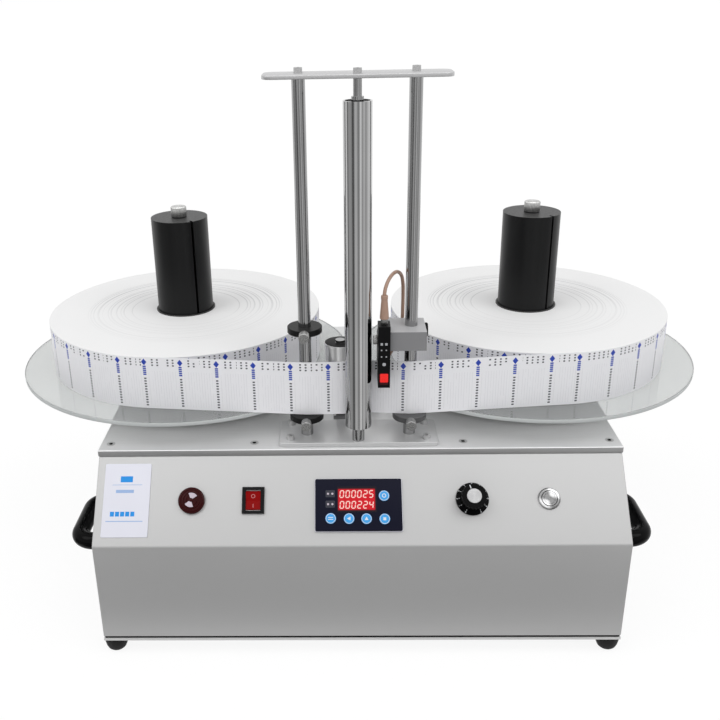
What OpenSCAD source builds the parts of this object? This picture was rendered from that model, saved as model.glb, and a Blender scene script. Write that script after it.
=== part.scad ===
// Desk rewinder for label rolls: a sheet-metal cabinet with a sloped panel,
// two horizontal reels, a guide tower with a label sensor, and the drive inside.
// Sizes are in mm. Modules work from the panel's front fold line and the
// cabinet's lower edge; place() moves them to the middle of the footprint.

/* [Cabinet] */
// Cabinet width
body_w = 600; // [500:5:700]
// Cabinet depth
body_d = 470; // [420:5:560]
// Height of the upright front
front_h = 126.5; // [90:0.5:160]
// Height of the cabinet under its top plate
shoulder_h = 203; // [180:0.5:240]
// Depth taken by the sloped panel
slope_run = 70; // [50:0.5:100]
// Sheet thickness
sheet_t = 2; // [1:0.5:3]
// Width of the lip that carries the top plate
lip_w = 25; // [15:1:35]
// Base tray thickness
tray_t = 3; // [2:0.5:5]
// Foot height
foot_h = 22; // [10:1:40]
// Foot diameter at the tray
foot_d = 28; // [20:1:40]
// Foot diameter at the floor
foot_low_d = 20; // [14:1:34]
// Foot centre from the cabinet's side
foot_in_x = 10; // [10:1:60]
// Foot centre from the cabinet's front and rear
foot_in_y = 17; // [16:1:60]
// Top plate thickness
plate_t = 8; // [5:0.5:12]
// Top plate overhang at the sides and rear
plate_over = 1; // [0:0.5:4]
// Front edge of the top plate
plate_front = 69.5; // [60:0.5:80]

/* [Handles] */
// Handle bar diameter
handle_d = 20; // [12:0.5:24]
// Handle stand-off, outside
handle_reach = 40; // [32:1:60]
// Distance between the handle's legs
handle_pitch = 90; // [80:1:140]
// Handle middle behind the front
handle_y = 87; // [70:1:200]
// Handle height above the cabinet's lower edge
handle_z = 107; // [60:1:140]
// Bend radius of the handle bar
handle_r = 20; // [14:1:26]

/* [Panel] */
// Distance of the controls up the slope
panel_s = 51.5; // [35:0.5:70]
// Alarm position
buzzer_x = -190; // [-230:1:-160]
// Alarm bezel diameter
buzzer_d = 30; // [26:0.5:36]
// Power switch position
switch_x = -120; // [-150:1:-90]
// Power switch bezel width
switch_w = 25; // [20:0.5:30]
// Power switch bezel height
switch_h = 30; // [26:0.5:36]
// Counter position
counter_x = -1.2; // [-20:0.1:20]
// Counter distance up the slope
counter_s = 45.5; // [40:0.5:55]
// Counter bezel width
counter_w = 97.5; // [90:0.5:110]
// Counter bezel height
counter_h = 59; // [48:0.5:64]
// Counter bezel thickness
counter_t = 4; // [3:0.5:10]
// Counter key diameter
key_d = 12; // [8:0.5:14]
// Speed knob position
pot_x = 126.6; // [100:0.1:150]
// Speed knob skirt diameter
knob_d = 37; // [28:0.5:42]
// Start button position
button_x = 212.5; // [180:0.5:240]
// Start button bezel diameter
button_d = 24.5; // [22.5:0.5:28]

/* [Tower] */
// Tower plate width
tower_w = 184; // [160:1:220]
// Tower plate depth
tower_d = 60; // [50:1:80]
// Tower plate thickness
tower_t = 5; // [3:0.5:8]
// Front edge of the tower plate
tower_front = 74.5; // [72:0.5:85]
// Post distance from the middle
post_x = 59.5; // [50:0.5:80]
// Post distance behind the front
post_y = 101; // [95:0.5:115]
// Post diameter
post_d = 14; // [10:0.5:20]
// Post length above the tower plate
post_h = 401; // [300:1:500]
// Tie bar width
tie_w = 190; // [150:1:220]
// Tie bar depth
tie_d = 45; // [40:1:60]
// Tie bar thickness
tie_t = 4; // [3:0.5:8]
// Guide roller axis behind the front
roller_y = 84; // [80:0.5:90]
// Guide roller diameter
roller_d = 30; // [24:0.5:34]
// Guide roller shaft diameter
roller_shaft_d = 9; // [8:0.5:12]
// Guide roller height above the tower plate
roller_lift = 19; // [5:1:30]
// Guide roller length
roller_h = 360; // [250:1:380]
// Measuring drum axis across
drum_x = -20; // [-24:0.5:-16]
// Measuring drum axis behind the front
drum_y = 112; // [110:0.5:118]
// Measuring drum diameter
drum_d = 34; // [30:0.5:36]
// Measuring drum height
drum_h = 80; // [60:1:110]
// Guide collar diameter
collar_d = 39; // [30:0.5:44]
// Guide collar thickness
collar_t = 7; // [6:0.5:12]

/* [Reels] */
// Free space from a reel disc's edge to the middle
reel_gap = 9; // [5:0.5:30]
// Reel distance behind the front
reel_y = 291; // [280:1:320]
// Reel disc diameter
disc_d = 432; // [380:1:440]
// Reel disc thickness
disc_t = 5; // [3:0.5:8]
// Space under the reel disc
disc_gap = 27; // [20:1:40]
// Label roll diameter
roll_d = 354; // [120:1:400]
// Label roll width
roll_h = 65; // [30:1:110]
// Core outside diameter
core_d = 77; // [76:0.5:84]
// Core height above the roll
core_over = 1.5; // [0:0.5:4]
// Mandrel diameter
mandrel_d = 72; // [60:0.5:76]
// Mandrel height
mandrel_h = 188; // [120:1:240]
// Spindle diameter
spindle_d = 20; // [16:0.5:25]
// Stud diameter at the spindle's top
stud_d = 8; // [6:0.5:10]
// Bearing housing diameter
housing_d = 52; // [40:1:60]

/* [Label web] */
// Thickness of the label strip
web_t = 0.5; // [0.2:0.1:1]
// Gap between the strip and what it runs round
web_gap = 0.25; // [0.1:0.05:0.5]

/* [Sensor] */
// Height of the sensor block above the tower plate
sensor_lift = 112; // [100:1:300]
// Sensor block height
block_h = 22; // [16:1:30]
// Sensor block's left face
block_x0 = 35; // [30:0.5:45]
// Sensor block's right face
block_x1 = 75; // [70:0.5:90]
// Sensor body width
sensor_w = 13.3; // [10:0.1:20]
// Sensor body height
sensor_h = 72; // [50:1:90]
// Sensor cable diameter
cable_d = 4; // [3:0.5:6]

/* [Fits] */
// Radial clearance of running fits
run_c = 0.05; // [0.02:0.01:0.1]
// Radial clearance of screws in holes
hole_c = 0.1; // [0.05:0.05:0.5]
// Space between the sensor boot and the end of its cable
cable_c = 0.3; // [0.2:0.05:0.5]
// Large screw diameter
screw_d = 5; // [4:0.5:6]
// Small screw diameter
pin_d = 4; // [3:0.5:5]

/* [Hidden] */
$fn = 64;
panel_a = atan2(shoulder_h - front_h, slope_run);
plate_top = shoulder_h + plate_t;
tower_top = plate_top + tower_t;
post_top = tower_top + post_h;
depth_all = reel_y + disc_d / 2;
disc_z = plate_top + disc_gap;
roll_z = disc_z + disc_t;
mandrel_top = roll_z + mandrel_h;
core_in_d = mandrel_d + 0.4;
roller_z = tower_top + roller_lift;
drum_z = tower_top + 30;
arm_top = drum_z - 1;
collar_z = roll_z - collar_t;
upper_collar_z = roll_z + 100;
sensor_z = tower_top + sensor_lift;
sensor_mid_z = sensor_z + block_h / 2;
sensor_low = sensor_z - 42;
sensor_top = sensor_low + sensor_h;
sensor_x0 = block_x0 - sensor_w;
sensor_y0 = 72;
fork_y0 = 93;
fork_y1 = 101;
sensor_y1 = 110;
bolt_y = 84;
bolt_head_d = 10.6;
bolt_head_h = 5.4;
boot_x = sensor_x0 + 6.8;
boot_y = 82;
boot_top = sensor_top + 33;
gland_x = 20;
gland_y = 172;
clamp_y = post_y + 13;
foot_x = body_w / 2 - foot_in_x;
foot_ys = [foot_in_y, body_d - foot_in_y];
reel_x = disc_d / 2 + reel_gap;
plate_screw_out = body_w / 2 - 11;
plate_screw_in = body_w / 5 + 1;
plate_screw_xs = [-plate_screw_out, -plate_screw_in, plate_screw_in, plate_screw_out];
plate_screw_ys = [plate_front + 17, body_d - 16];
tower_screw_x = 78.6;
tower_screw_ys = [tower_front + 10.5, tower_front + tower_d - 10.5];
rear_screw_zs = [40, 160];
rear_screw_y = body_d - 8;
inlet_x = 180;
inlet_z = 60;
key_at = [[27.6, 55.3], [-32.5, 30], [-12, 29.7], [7.5, 29.5], [27.8, 29.2]];
outer_profile = [
  [0, 0],
  [0, front_h],
  [slope_run, shoulder_h],
  [body_d, shoulder_h],
  [body_d, 0]
];
inner_profile = [
  [sheet_t, -1],
  [sheet_t, front_h - sheet_t * tan((90 - panel_a) / 2)],
  [slope_run + sheet_t * tan(panel_a / 2), shoulder_h - sheet_t],
  [body_d + 1, shoulder_h - sheet_t],
  [body_d + 1, -1]
];

// Moves the cabinet frame to the middle of the footprint, on the floor.
module place() {
  translate([0, -depth_all / 2, foot_h + tray_t])
    children();
}

// Box between two corners.
module box(x0, x1, y0, y1, z0, z1) {
  translate([x0, y0, z0])
    cube([x1 - x0, y1 - y0, z1 - z0]);
}

// Upright rod between two heights.
module rod(d, z0, z1) {
  translate([0, 0, z0])
    cylinder(d = d, h = z1 - z0);
}

// Rod along X.
module rod_x(d, x0, x1) {
  translate([x0, 0, 0])
    rotate([0, 90, 0])
      cylinder(d = d, h = x1 - x0);
}

// Rod along Y.
module rod_y(d, y0, y1) {
  translate([0, y0, 0])
    rotate([-90, 0, 0])
      cylinder(d = d, h = y1 - y0);
}

// Plate with rounded upright corners.
module round_plate(x0, x1, y0, y1, z0, z1, r) {
  box(x0 + r, x1 - r, y0, y1, z0, z1);
  box(x0, x1, y0 + r, y1 - r, z0, z1);
  for (x = [x0 + r, x1 - r])
    for (y = [y0 + r, y1 - r])
      translate([x, y, 0])
        rod(2 * r, z0, z1);
}

// Prism across the cabinet from a side profile.
module side_prism(w, profile) {
  translate([-w / 2, 0, 0])
    rotate([90, 0, 90])
      linear_extrude(height = w)
        polygon(profile);
}

// Puts children on the sloped panel, Z out of the sheet and Y up the slope.
module on_panel(x, s) {
  translate([x, s * cos(panel_a), front_h + s * sin(panel_a)])
    rotate([panel_a, 0, 0])
      children();
}

// Puts children at each top plate screw.
module at_plate_screws() {
  for (x = plate_screw_xs)
    for (y = plate_screw_ys)
      translate([x, y, 0])
        children();
}

// Puts children at each tower plate screw.
module at_tower_screws() {
  for (x = [-tower_screw_x, tower_screw_x])
    for (y = tower_screw_ys)
      translate([x, y, 0])
        children();
}

// Puts children at each foot.
module at_feet() {
  for (x = [-foot_x, foot_x])
    for (y = foot_ys)
      translate([x, y, 0])
        children();
}

// Puts children at each reel axis.
module at_reels() {
  for (x = [-reel_x, reel_x])
    translate([x, reel_y, 0])
      children();
}

// Folded cabinet: front, sloped panel, sides and the lip under the top plate.
module cabinet_shell() {
  color("silver")
    place()
      difference() {
        side_prism(body_w, outer_profile);
        side_prism(body_w - 2 * sheet_t, inner_profile);
        box(
          lip_w - body_w / 2, body_w / 2 - lip_w,
          slope_run + lip_w, body_d - lip_w,
          shoulder_h - 2 * sheet_t, shoulder_h + 1
        );
        at_plate_screws()
          rod(screw_d + 2 * hole_c, shoulder_h - 2 * sheet_t, shoulder_h + 1);
        at_tower_screws()
          rod(screw_d + 2 * hole_c, shoulder_h - 2 * sheet_t, shoulder_h + 1);
        on_panel(buzzer_x, panel_s)
          rod(22 + 2 * hole_c, -6, 6);
        on_panel(switch_x, panel_s)
          box(-10.5, 10.5, -13.5, 13.5, -6, 6);
        on_panel(counter_x, counter_s)
          box(-45.6, 45.6, -22.1, 22.1, -6, 6);
        on_panel(pot_x, panel_s)
          rod(9 + 2 * hole_c, -6, 6);
        on_panel(button_x, panel_s)
          rod(22 + 2 * hole_c, -6, 6);
        for (y = [handle_y - handle_pitch / 2, handle_y + handle_pitch / 2])
          translate([0, y, handle_z])
            rod_x(screw_d + 2 * hole_c, -body_w, body_w);
        for (z = rear_screw_zs)
          translate([0, rear_screw_y, z])
            rod_x(pin_d + 2 * hole_c, -body_w, body_w);
      }
}

// Rear panel with side flanges, vent slots and the cut-out for the mains inlet.
module rear_panel() {
  in_w = body_w - 2 * sheet_t;
  color("silver")
    place()
      difference() {
        union() {
          box(-in_w / 2, in_w / 2, body_d - sheet_t, body_d, 0, shoulder_h - sheet_t);
          for (x = [-in_w / 2, in_w / 2 - sheet_t])
            box(x, x + sheet_t, body_d - 14, body_d - sheet_t, 3, shoulder_h - 5);
        }
        for (i = [0 : 11])
          box(-230 + 14 * i, -224 + 14 * i, body_d - 3, body_d + 1, 60, 140);
        box(inlet_x - 13.1, inlet_x + 13.1, body_d - 3, body_d + 1, inlet_z - 9.6, inlet_z + 9.6);
        for (z = rear_screw_zs)
          translate([0, rear_screw_y, z])
            rod_x(pin_d + 2 * hole_c, -body_w, body_w);
      }
}

// Base tray with upturned lips inside the cabinet.
module base_tray() {
  in_w = body_w - 2 * sheet_t;
  color("gainsboro")
    place()
      difference() {
        union() {
          box(-body_w / 2, body_w / 2, 0, body_d, -tray_t, 0);
          box(4 - in_w / 2, in_w / 2 - 4, sheet_t, 2 * sheet_t, -0.5, 12);
          box(4 - in_w / 2, in_w / 2 - 4, body_d - 2 * sheet_t, body_d - sheet_t, -0.5, 12);
          for (x = [-in_w / 2, in_w / 2 - sheet_t])
            box(x, x + sheet_t, 6, body_d - 18, -0.5, 12);
        }
        at_feet()
          rod(pin_d + 2 * hole_c, -tray_t - 1, 1);
      }
}

// Machined top plate.
module top_plate() {
  half_w = body_w / 2 + plate_over;
  color("darkgray")
    place()
      difference() {
        box(-half_w, half_w, plate_front, body_d + plate_over, shoulder_h, plate_top);
        at_reels()
          rod(housing_d + 2 * hole_c, shoulder_h - 1, plate_top + 1);
        at_plate_screws() {
          rod(screw_d + 2 * hole_c, shoulder_h - 1, plate_top + 1);
          translate([0, 0, plate_top - 2.8])
            cylinder(d1 = screw_d + 2 * hole_c, d2 = 2 * screw_d + 2 * hole_c, h = 2.8);
        }
        at_tower_screws()
          rod(screw_d + 2 * hole_c, shoulder_h - 1, plate_top + 1);
        translate([gland_x, gland_y, 0])
          rod(8, shoulder_h - 1, plate_top + 1);
      }
}

// Four tapered rubber feet with a screw recess.
module rubber_feet() {
  color("dimgray")
    place()
      at_feet()
        difference() {
          translate([0, 0, -tray_t - foot_h])
            cylinder(d1 = foot_low_d, d2 = foot_d, h = foot_h);
          rod(pin_d + 2 * hole_c, -tray_t - foot_h - 1, 1);
          rod(10, -tray_t - foot_h - 1, -tray_t - 8);
        }
}

// Screws of the plate, tower, tie bar, handles, rear panel and feet.
module machine_screws() {
  color("gray")
    place() {
      at_plate_screws() {
        rod(screw_d, shoulder_h - 8, plate_top - 2.7);
        difference() {
          translate([0, 0, plate_top - 2.7])
            cylinder(d1 = screw_d, d2 = 2 * screw_d, h = 2.7);
          rod(3, plate_top - 1.5, plate_top + 1);
        }
      }
      at_tower_screws()
        cap_screw(tower_top, 20);
      for (x = [-post_x, post_x])
        translate([x, post_y, 0])
          cap_screw(post_top + tie_t, 16);
      translate([0, roller_y, 0])
        cap_screw(post_top + tie_t, 16);
      for (side = [-1, 1])
        for (y = [handle_y - handle_pitch / 2, handle_y + handle_pitch / 2])
          translate([side * (body_w / 2 - sheet_t), y, handle_z])
            rotate([0, side * 90, 0]) {
              rod(9, -3, 0);
              rod(screw_d, -1, 14);
            }
      for (side = [-1, 1])
        for (z = rear_screw_zs)
          translate([side * body_w / 2, rear_screw_y, z])
            rotate([0, side * 90, 0]) {
              rod(7.5, 0, 2.5);
              rod(pin_d, -8, 1);
            }
      at_feet() {
        rod(8, -tray_t - 11, -tray_t - 8);
        rod(pin_d, -tray_t - 9, 4);
        cylinder(d = 8, h = 3.2, $fn = 6);
      }
    }
}

// Socket head screw whose head sits on height z.
module cap_screw(z, len) {
  difference() {
    rod(8.7, z, z + 5);
    translate([0, 0, z + 2.5])
      cylinder(d = 4.6, h = 4, $fn = 6);
  }
  rod(screw_d, z - len, z + 1);
}

// Bow handle on the side x = 300, legs along X and grip along Y.
module handle_bow() {
  grip_x = body_w / 2 + handle_reach - handle_d / 2;
  leg_x = grip_x - handle_r;
  difference() {
    union() {
      for (side = [-1, 1])
        translate([0, handle_y + side * handle_pitch / 2, handle_z])
          rod_x(handle_d, body_w / 2, leg_x);
      translate([grip_x, 0, handle_z])
        rod_y(handle_d, handle_y - handle_pitch / 2 + handle_r, handle_y + handle_pitch / 2 - handle_r);
      translate([leg_x, handle_y + handle_pitch / 2 - handle_r, handle_z])
        rotate_extrude(angle = 90)
          translate([handle_r, 0])
            circle(d = handle_d);
      translate([leg_x, handle_y - handle_pitch / 2 + handle_r, handle_z])
        rotate([0, 0, -90])
          rotate_extrude(angle = 90)
            translate([handle_r, 0])
              circle(d = handle_d);
    }
    for (side = [-1, 1])
      translate([0, handle_y + side * handle_pitch / 2, handle_z])
        rod_x(screw_d + 2 * hole_c, body_w / 2 - 1, body_w / 2 + 14);
  }
}

module right_handle() {
  color("black")
    place()
      handle_bow();
}

module left_handle() {
  color("black")
    place()
      mirror([1, 0, 0])
        handle_bow();
}

// Round alarm with its bezel, body and nut.
module alarm_buzzer() {
  color("darkred")
    place()
      on_panel(buzzer_x, panel_s) {
        rotate_extrude()
          polygon([[0, -32], [11, -32], [11, 0], [buzzer_d / 2, 0], [buzzer_d / 2, 4], [13, 6.5], [0, 6.5]]);
        difference() {
          rod(28, -6, -sheet_t);
          rod(20, -7, 0);
        }
      }
}

// Frame of the power switch with the rocker's pocket and pivot pin.
module switch_housing() {
  color("black")
    place()
      on_panel(switch_x, panel_s) {
        difference() {
          union() {
            box(-switch_w / 2, switch_w / 2, -switch_h / 2, switch_h / 2, 0, 3);
            box(-10.4, 10.4, -13.4, 13.4, -24, 1);
          }
          box(-8.5, 8.5, -12, 12, -16.4, 4);
        }
        translate([0, 0, -4])
          rod_x(3, -9, 9);
      }
}

// Rocker of the power switch, at rest in its on position.
module switch_rocker() {
  color("red")
    place()
      on_panel(switch_x, panel_s)
        translate([0, 0, -4])
          rotate([8, 0, 0])
            difference() {
              rod_x(23.4, -8.3, 8.3);
              translate([-10, 0, 5.5])
                rotate([90, 0, 90])
                  linear_extrude(height = 20)
                    polygon([[0, 0], [20, 20 * tan(8)], [20, 20], [-20, 20], [-20, 20 * tan(8)]]);
              rod_x(3 + 2 * run_c, -10, 10);
            }
}

// Counter: bezel with key pockets and window recess, and the body behind the panel.
module counter_case() {
  color("midnightblue")
    place()
      difference() {
        on_panel(counter_x, counter_s) {
          box(-counter_w / 2, counter_w / 2, -counter_h / 2, counter_h / 2, 0, counter_t);
          box(-45.5, 45.5, -22, 22, -60, 1);
        }
        on_panel(counter_x, counter_s)
          box(-24, 20.4, -8.5, 20.5, counter_t - 1.2, counter_t + 1);
        for (k = key_at)
          on_panel(k[0], k[1])
            rod(key_d + 2 * run_c, counter_t - 4, counter_t + 1);
      }
}

// Display window of the counter.
module counter_window() {
  color("black")
    place()
      on_panel(counter_x, counter_s)
        box(-24, 20.4, -8.5, 20.5, counter_t - 1.2, counter_t);
}

// One counter key, by its number in key_at.
module counter_key(i) {
  color("royalblue")
    place()
      on_panel(key_at[i][0], key_at[i][1])
        rod(key_d, counter_t - 3.4, counter_t + 0.8);
}

module mode_key() {
  counter_key(1);
}

module shift_key() {
  counter_key(2);
}

module up_key() {
  counter_key(3);
}

module set_key() {
  counter_key(4);
}

module reset_key() {
  counter_key(0);
}

// Speed potentiometer with its threaded bush, nut and shaft.
module speed_pot() {
  color("gray")
    place()
      on_panel(pot_x, panel_s) {
        rod(24, -14, -sheet_t);
        rod(9, -3, 5);
        rod(14, 0, 2.2);
        rod(6, 4, 15);
      }
}

// Speed knob: skirt, grip, cap and the bore for the shaft.
module speed_knob() {
  color("black")
    place()
      on_panel(pot_x, panel_s)
        difference() {
          rotate_extrude()
            polygon([
              [0, 0.6], [knob_d / 2, 0.6], [knob_d / 2, 2.2], [14.6, 6], [13.2, 18], [12.2, 19],
              [8.25, 19], [8.25, 19.8], [0, 19.8]
            ]);
          rod(6 + 2 * run_c, 0, 15.2);
          rod(18, 0, 5.4);
        }
}

// Metal bezel and body of the start button.
module button_housing() {
  color("lightgray")
    place()
      on_panel(button_x, panel_s) {
        difference() {
          union() {
            rotate_extrude()
              polygon([[0, 0], [button_d / 2, 0], [button_d / 2, 1.6], [button_d / 2 - 1.2, 2.8], [0, 2.8]]);
            rod(22, -34, 1);
          }
          rod(17 + 2 * run_c, -6, 4);
        }
        difference() {
          rod(28, -6, -sheet_t);
          rod(20, -7, 0);
        }
      }
}

// Push cap of the start button.
module start_button() {
  color("white")
    place()
      on_panel(button_x, panel_s)
        rod(17, -4, 3);
}

// Tower base plate with the post seats and the cable hole.
module tower_plate() {
  color("lightgray")
    place()
      difference() {
        round_plate(
          -tower_w / 2, tower_w / 2,
          tower_front, tower_front + tower_d,
          plate_top, tower_top, 6
        );
        at_tower_screws()
          rod(screw_d + 2 * hole_c, plate_top - 1, tower_top + 1);
        for (x = [-post_x, post_x])
          translate([x, post_y, 0])
            rod(8 + 2 * hole_c, plate_top - 1, tower_top + 1);
        translate([0, roller_y, 0])
          rod(6 + 2 * hole_c, plate_top - 1, tower_top + 1);
      }
}

// Round post with a spigot below and a tapped hole on top.
module tower_post(x) {
  color("gainsboro")
    place()
      translate([x, post_y, 0])
        difference() {
          union() {
            rod(post_d, tower_top, post_top);
            rod(8, plate_top, tower_top + 1);
          }
          rod(screw_d + 2 * hole_c, post_top - 14, post_top + 1);
        }
}

module left_post() {
  tower_post(-post_x);
}

module right_post() {
  tower_post(post_x);
}

// Fixed shafts of the guide roller and the measuring drum.
module guide_shafts() {
  roller_end = roller_z + roller_h;
  drum_end = drum_z + drum_h;
  color("gray")
    place() {
      translate([0, roller_y, 0])
        difference() {
          union() {
            rod(6, plate_top, tower_top + 1);
            rod(roller_shaft_d, tower_top, post_top);
            rod(14, tower_top, roller_z - run_c);
            rod(13, roller_end + run_c, roller_end + 4);
          }
          rod(screw_d + 2 * hole_c, post_top - 14, post_top + 1);
        }
      translate([drum_x, drum_y, 0]) {
        rod(8, arm_top - 1, drum_end + 3);
        rod(12, arm_top - 1, drum_z - run_c);
        rod(10.8, drum_end + run_c, drum_end + 3);
        drum_bracket();
      }
    }
}

// Bracket behind the drum: foot on the top plate, upright, and the arm under the drum.
module drum_bracket() {
  box(-9, 9, 34, 52, plate_top, plate_top + 5);
  box(-6, 6, 34, 40, plate_top, arm_top);
  box(-6, 6, -6, 40, arm_top - 5, arm_top);
}

// Tie bar over the posts and the roller shaft.
module tie_bar() {
  color("gainsboro")
    place()
      difference() {
        round_plate(
          -tie_w / 2, tie_w / 2,
          (post_y + roller_y - tie_d) / 2, (post_y + roller_y + tie_d) / 2,
          post_top, post_top + tie_t, 12
        );
        for (x = [-post_x, post_x])
          translate([x, post_y, 0])
            rod(screw_d + 2 * hole_c, post_top - 1, post_top + tie_t + 1);
        translate([0, roller_y, 0])
          rod(screw_d + 2 * hole_c, post_top - 1, post_top + tie_t + 1);
      }
}

// Guide roller tube with end bearings and a recessed top end.
module roller_tube() {
  r = roller_d / 2;
  b = roller_shaft_d / 2 + run_c;
  top = roller_z + roller_h;
  color("gainsboro")
    place()
      translate([0, roller_y, 0])
        rotate_extrude()
          polygon([
            [b, roller_z], [r, roller_z], [r, top], [r - 2, top], [r - 2, top - 2],
            [b, top - 2], [b, top - 14], [r - 3, top - 14], [r - 3, roller_z + 14], [b, roller_z + 14]
          ]);
}

// Measuring drum with its top flange.
module measuring_drum() {
  r = drum_d / 2;
  b = 4 + run_c;
  top = drum_z + drum_h;
  color("gainsboro")
    place()
      translate([drum_x, drum_y, 0])
        rotate_extrude()
          polygon([[b, drum_z], [r, drum_z], [r, top - 3], [r + 1, top - 3], [r + 1, top], [b, top]]);
}

// Guide collar on a post, from height z up, with the hole for its thumbscrew.
module guide_collar(x, z) {
  place()
    translate([x, post_y, 0])
      difference() {
        rod(collar_d, z, z + collar_t);
        rod(post_d + 2 * run_c, z - 1, z + collar_t + 1);
        translate([0, 0, z + collar_t / 2])
          rod_y(pin_d + 2 * run_c, -collar_d, 0);
      }
}

// Thumbscrew of a guide collar, head to the front.
module collar_screw(x, z) {
  place()
    translate([x, post_y, z + collar_t / 2]) {
      rod_y(12, -collar_d / 2 - 13.4, -collar_d / 2 - 0.2);
      rod_y(pin_d, -collar_d / 2 - 1, -post_d / 2 - 0.4);
    }
}

module left_upper_collar() {
  color("black")
    guide_collar(-post_x, upper_collar_z);
}

module left_lower_collar() {
  color("black")
    guide_collar(-post_x, collar_z);
}

module right_lower_collar() {
  color("dimgray")
    guide_collar(post_x, collar_z);
}

module left_upper_screw() {
  color("silver")
    collar_screw(-post_x, upper_collar_z);
}

module left_lower_screw() {
  color("silver")
    collar_screw(-post_x, collar_z);
}

module right_lower_screw() {
  color("silver")
    collar_screw(post_x, collar_z);
}

// Sensor block on the right post, with the clamp and bolt holes.
module sensor_block() {
  color("lightgray")
    place()
      difference() {
        box(block_x0, block_x1, 77, 123, sensor_z, sensor_z + block_h);
        translate([post_x, post_y, 0])
          rod(post_d + 2 * run_c, sensor_z - 1, sensor_z + block_h + 1);
        box(post_x - 1, post_x + 1, post_y, 124, sensor_z - 1, sensor_z + block_h + 1);
        translate([0, clamp_y, sensor_mid_z])
          rod_x(screw_d + 2 * run_c, post_x - 12, block_x1 + 1);
        translate([0, bolt_y, sensor_mid_z])
          rod_x(pin_d + 2 * hole_c, block_x0 - 1, block_x0 + 16);
      }
}

// Fork sensor: the limbs straddle the strip's upper edge.
module sensor_body() {
  color("black")
    place()
      difference() {
        union() {
          box(sensor_x0, block_x0, sensor_y0, fork_y0, sensor_low, sensor_top);
          box(sensor_x0, block_x0, fork_y0 - 1, sensor_y1, sensor_low + 43, sensor_low + 56);
          box(sensor_x0, block_x0, fork_y1, sensor_y1, sensor_low, sensor_low + 44);
        }
        translate([0, bolt_y, sensor_mid_z])
          rod_x(pin_d + 2 * hole_c, sensor_x0 - 1, block_x0 + 1);
      }
}

// Connector nut and moulded boot of the sensor cable.
module sensor_boot() {
  color("tan")
    place()
      translate([boot_x, boot_y, 0]) {
        rod(8, sensor_top, sensor_top + 7);
        translate([0, 0, sensor_top + 6])
          cylinder(d1 = 10, d2 = 7, h = boot_top - sensor_top - 10);
        rod(cable_d + 3.6, boot_top - 5, boot_top);
      }
}

// Bolt that holds the sensor to its block.
module sensor_bolt() {
  color("silver")
    place()
      translate([0, bolt_y, sensor_mid_z]) {
        rod_x(bolt_head_d, sensor_x0 - bolt_head_h, sensor_x0);
        rod_x(pin_d, sensor_x0 - 1, block_x0 + 14);
      }
}

// Clamp knob of the sensor block.
module sensor_clamp_knob() {
  color("black")
    place()
      translate([0, clamp_y, sensor_mid_z]) {
        rod_x(16, block_x1 + 0.2, block_x1 + 4.2);
        rod_x(screw_d, post_x - 11, block_x1 + 1);
      }
}

// Cable gland on the top plate, behind the tower.
module cable_gland() {
  color("black")
    place()
      translate([gland_x, gland_y, 0])
        difference() {
          union() {
            translate([0, 0, plate_top])
              cylinder(d = 16, h = 5, $fn = 6);
            rod(12, plate_top + 4, plate_top + 14);
          }
          rod(cable_d + 0.4, plate_top - 1, plate_top + 15);
        }
}

// Route of the sensor cable from the boot to the gland.
cable_route = [
  [29.5, 84, boot_top - 7],
  [boot_x, boot_y, boot_top + cable_c],
  [29.5, 84, boot_top + 7],
  [32.5, 89.5, boot_top + 13.5],
  [37, 97, boot_top + 18],
  [42, 105.5, boot_top + 19],
  [46.5, 113.5, boot_top + 15.5],
  [49.7, 120.5, boot_top + 8.5],
  [51.3, 125.5, boot_top - 1.5],
  [51.8, 128.3, boot_top - 14],
  [51.8, 129, sensor_z + 34],
  [51.5, 129, sensor_z + 19],
  [50, 128.5, sensor_z + 4],
  [46.5, 128, sensor_z - 6],
  [41.5, 130.5, sensor_z - 18],
  [36, 136, sensor_z - 31],
  [31, 143.5, sensor_z - 44],
  [26.5, 152.5, sensor_z - 58],
  [23, 161.5, sensor_z - 73],
  [gland_x + 0.5, gland_y - 3.5, sensor_z - 88],
  [gland_x, gland_y, sensor_z - 98],
  [gland_x, gland_y, plate_top + 10],
  [gland_x, gland_y, plate_top]
];
cable_steps = 3;
cable_sides = 12;

// Point at share u between p1 and p2 of a smooth curve through four points.
function smooth_point(p0, p1, p2, p3, u) =
  0.5 * (2 * p1 + (p2 - p0) * u + (2 * p0 - 5 * p1 + 4 * p2 - p3) * u * u
    + (3 * p1 - p0 - 3 * p2 + p3) * u * u * u);

// Smooth route through the inner points of a list.
function smooth_route(pts, steps) = [
  for (i = [1 : len(pts) - 3])
    for (j = [0 : steps - 1])
      smooth_point(pts[i - 1], pts[i], pts[i + 1], pts[i + 2], j / steps),
  pts[len(pts) - 2]
];

// Direction of a route at point i.
function route_dir(pts, i) =
  let (d = pts[min(i + 1, len(pts) - 1)] - pts[max(i - 1, 0)])
  d / norm(d);

// Ring of points round a route at point i.
function route_ring(pts, i, r, n) =
  let (t = route_dir(pts, i), c = cross(t, [1, 0, 0]), a = c / norm(c), b = cross(t, a))
  [for (k = [0 : n - 1]) pts[i] + r * (cos(360 * k / n) * a + sin(360 * k / n) * b)];

// Tube along a list of points.
module route_tube(pts, d, n) {
  m = len(pts);
  rings = [for (i = [0 : m - 1]) each route_ring(pts, i, d / 2, n)];
  sides = [
    for (i = [0 : m - 2])
      for (k = [0 : n - 1])
        [i * n + k, (i + 1) * n + k, (i + 1) * n + (k + 1) % n, i * n + (k + 1) % n]
  ];
  first = [for (k = [0 : n - 1]) k];
  last = [for (k = [0 : n - 1]) (m - 1) * n + n - 1 - k];
  polyhedron(points = rings, faces = concat([first], sides, [last]), convexity = 6);
}

// Sensor cable between the boot and the gland.
module sensor_cable() {
  color("tan")
    place()
      route_tube(smooth_route(cable_route, cable_steps), cable_d, cable_sides);
}

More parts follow.
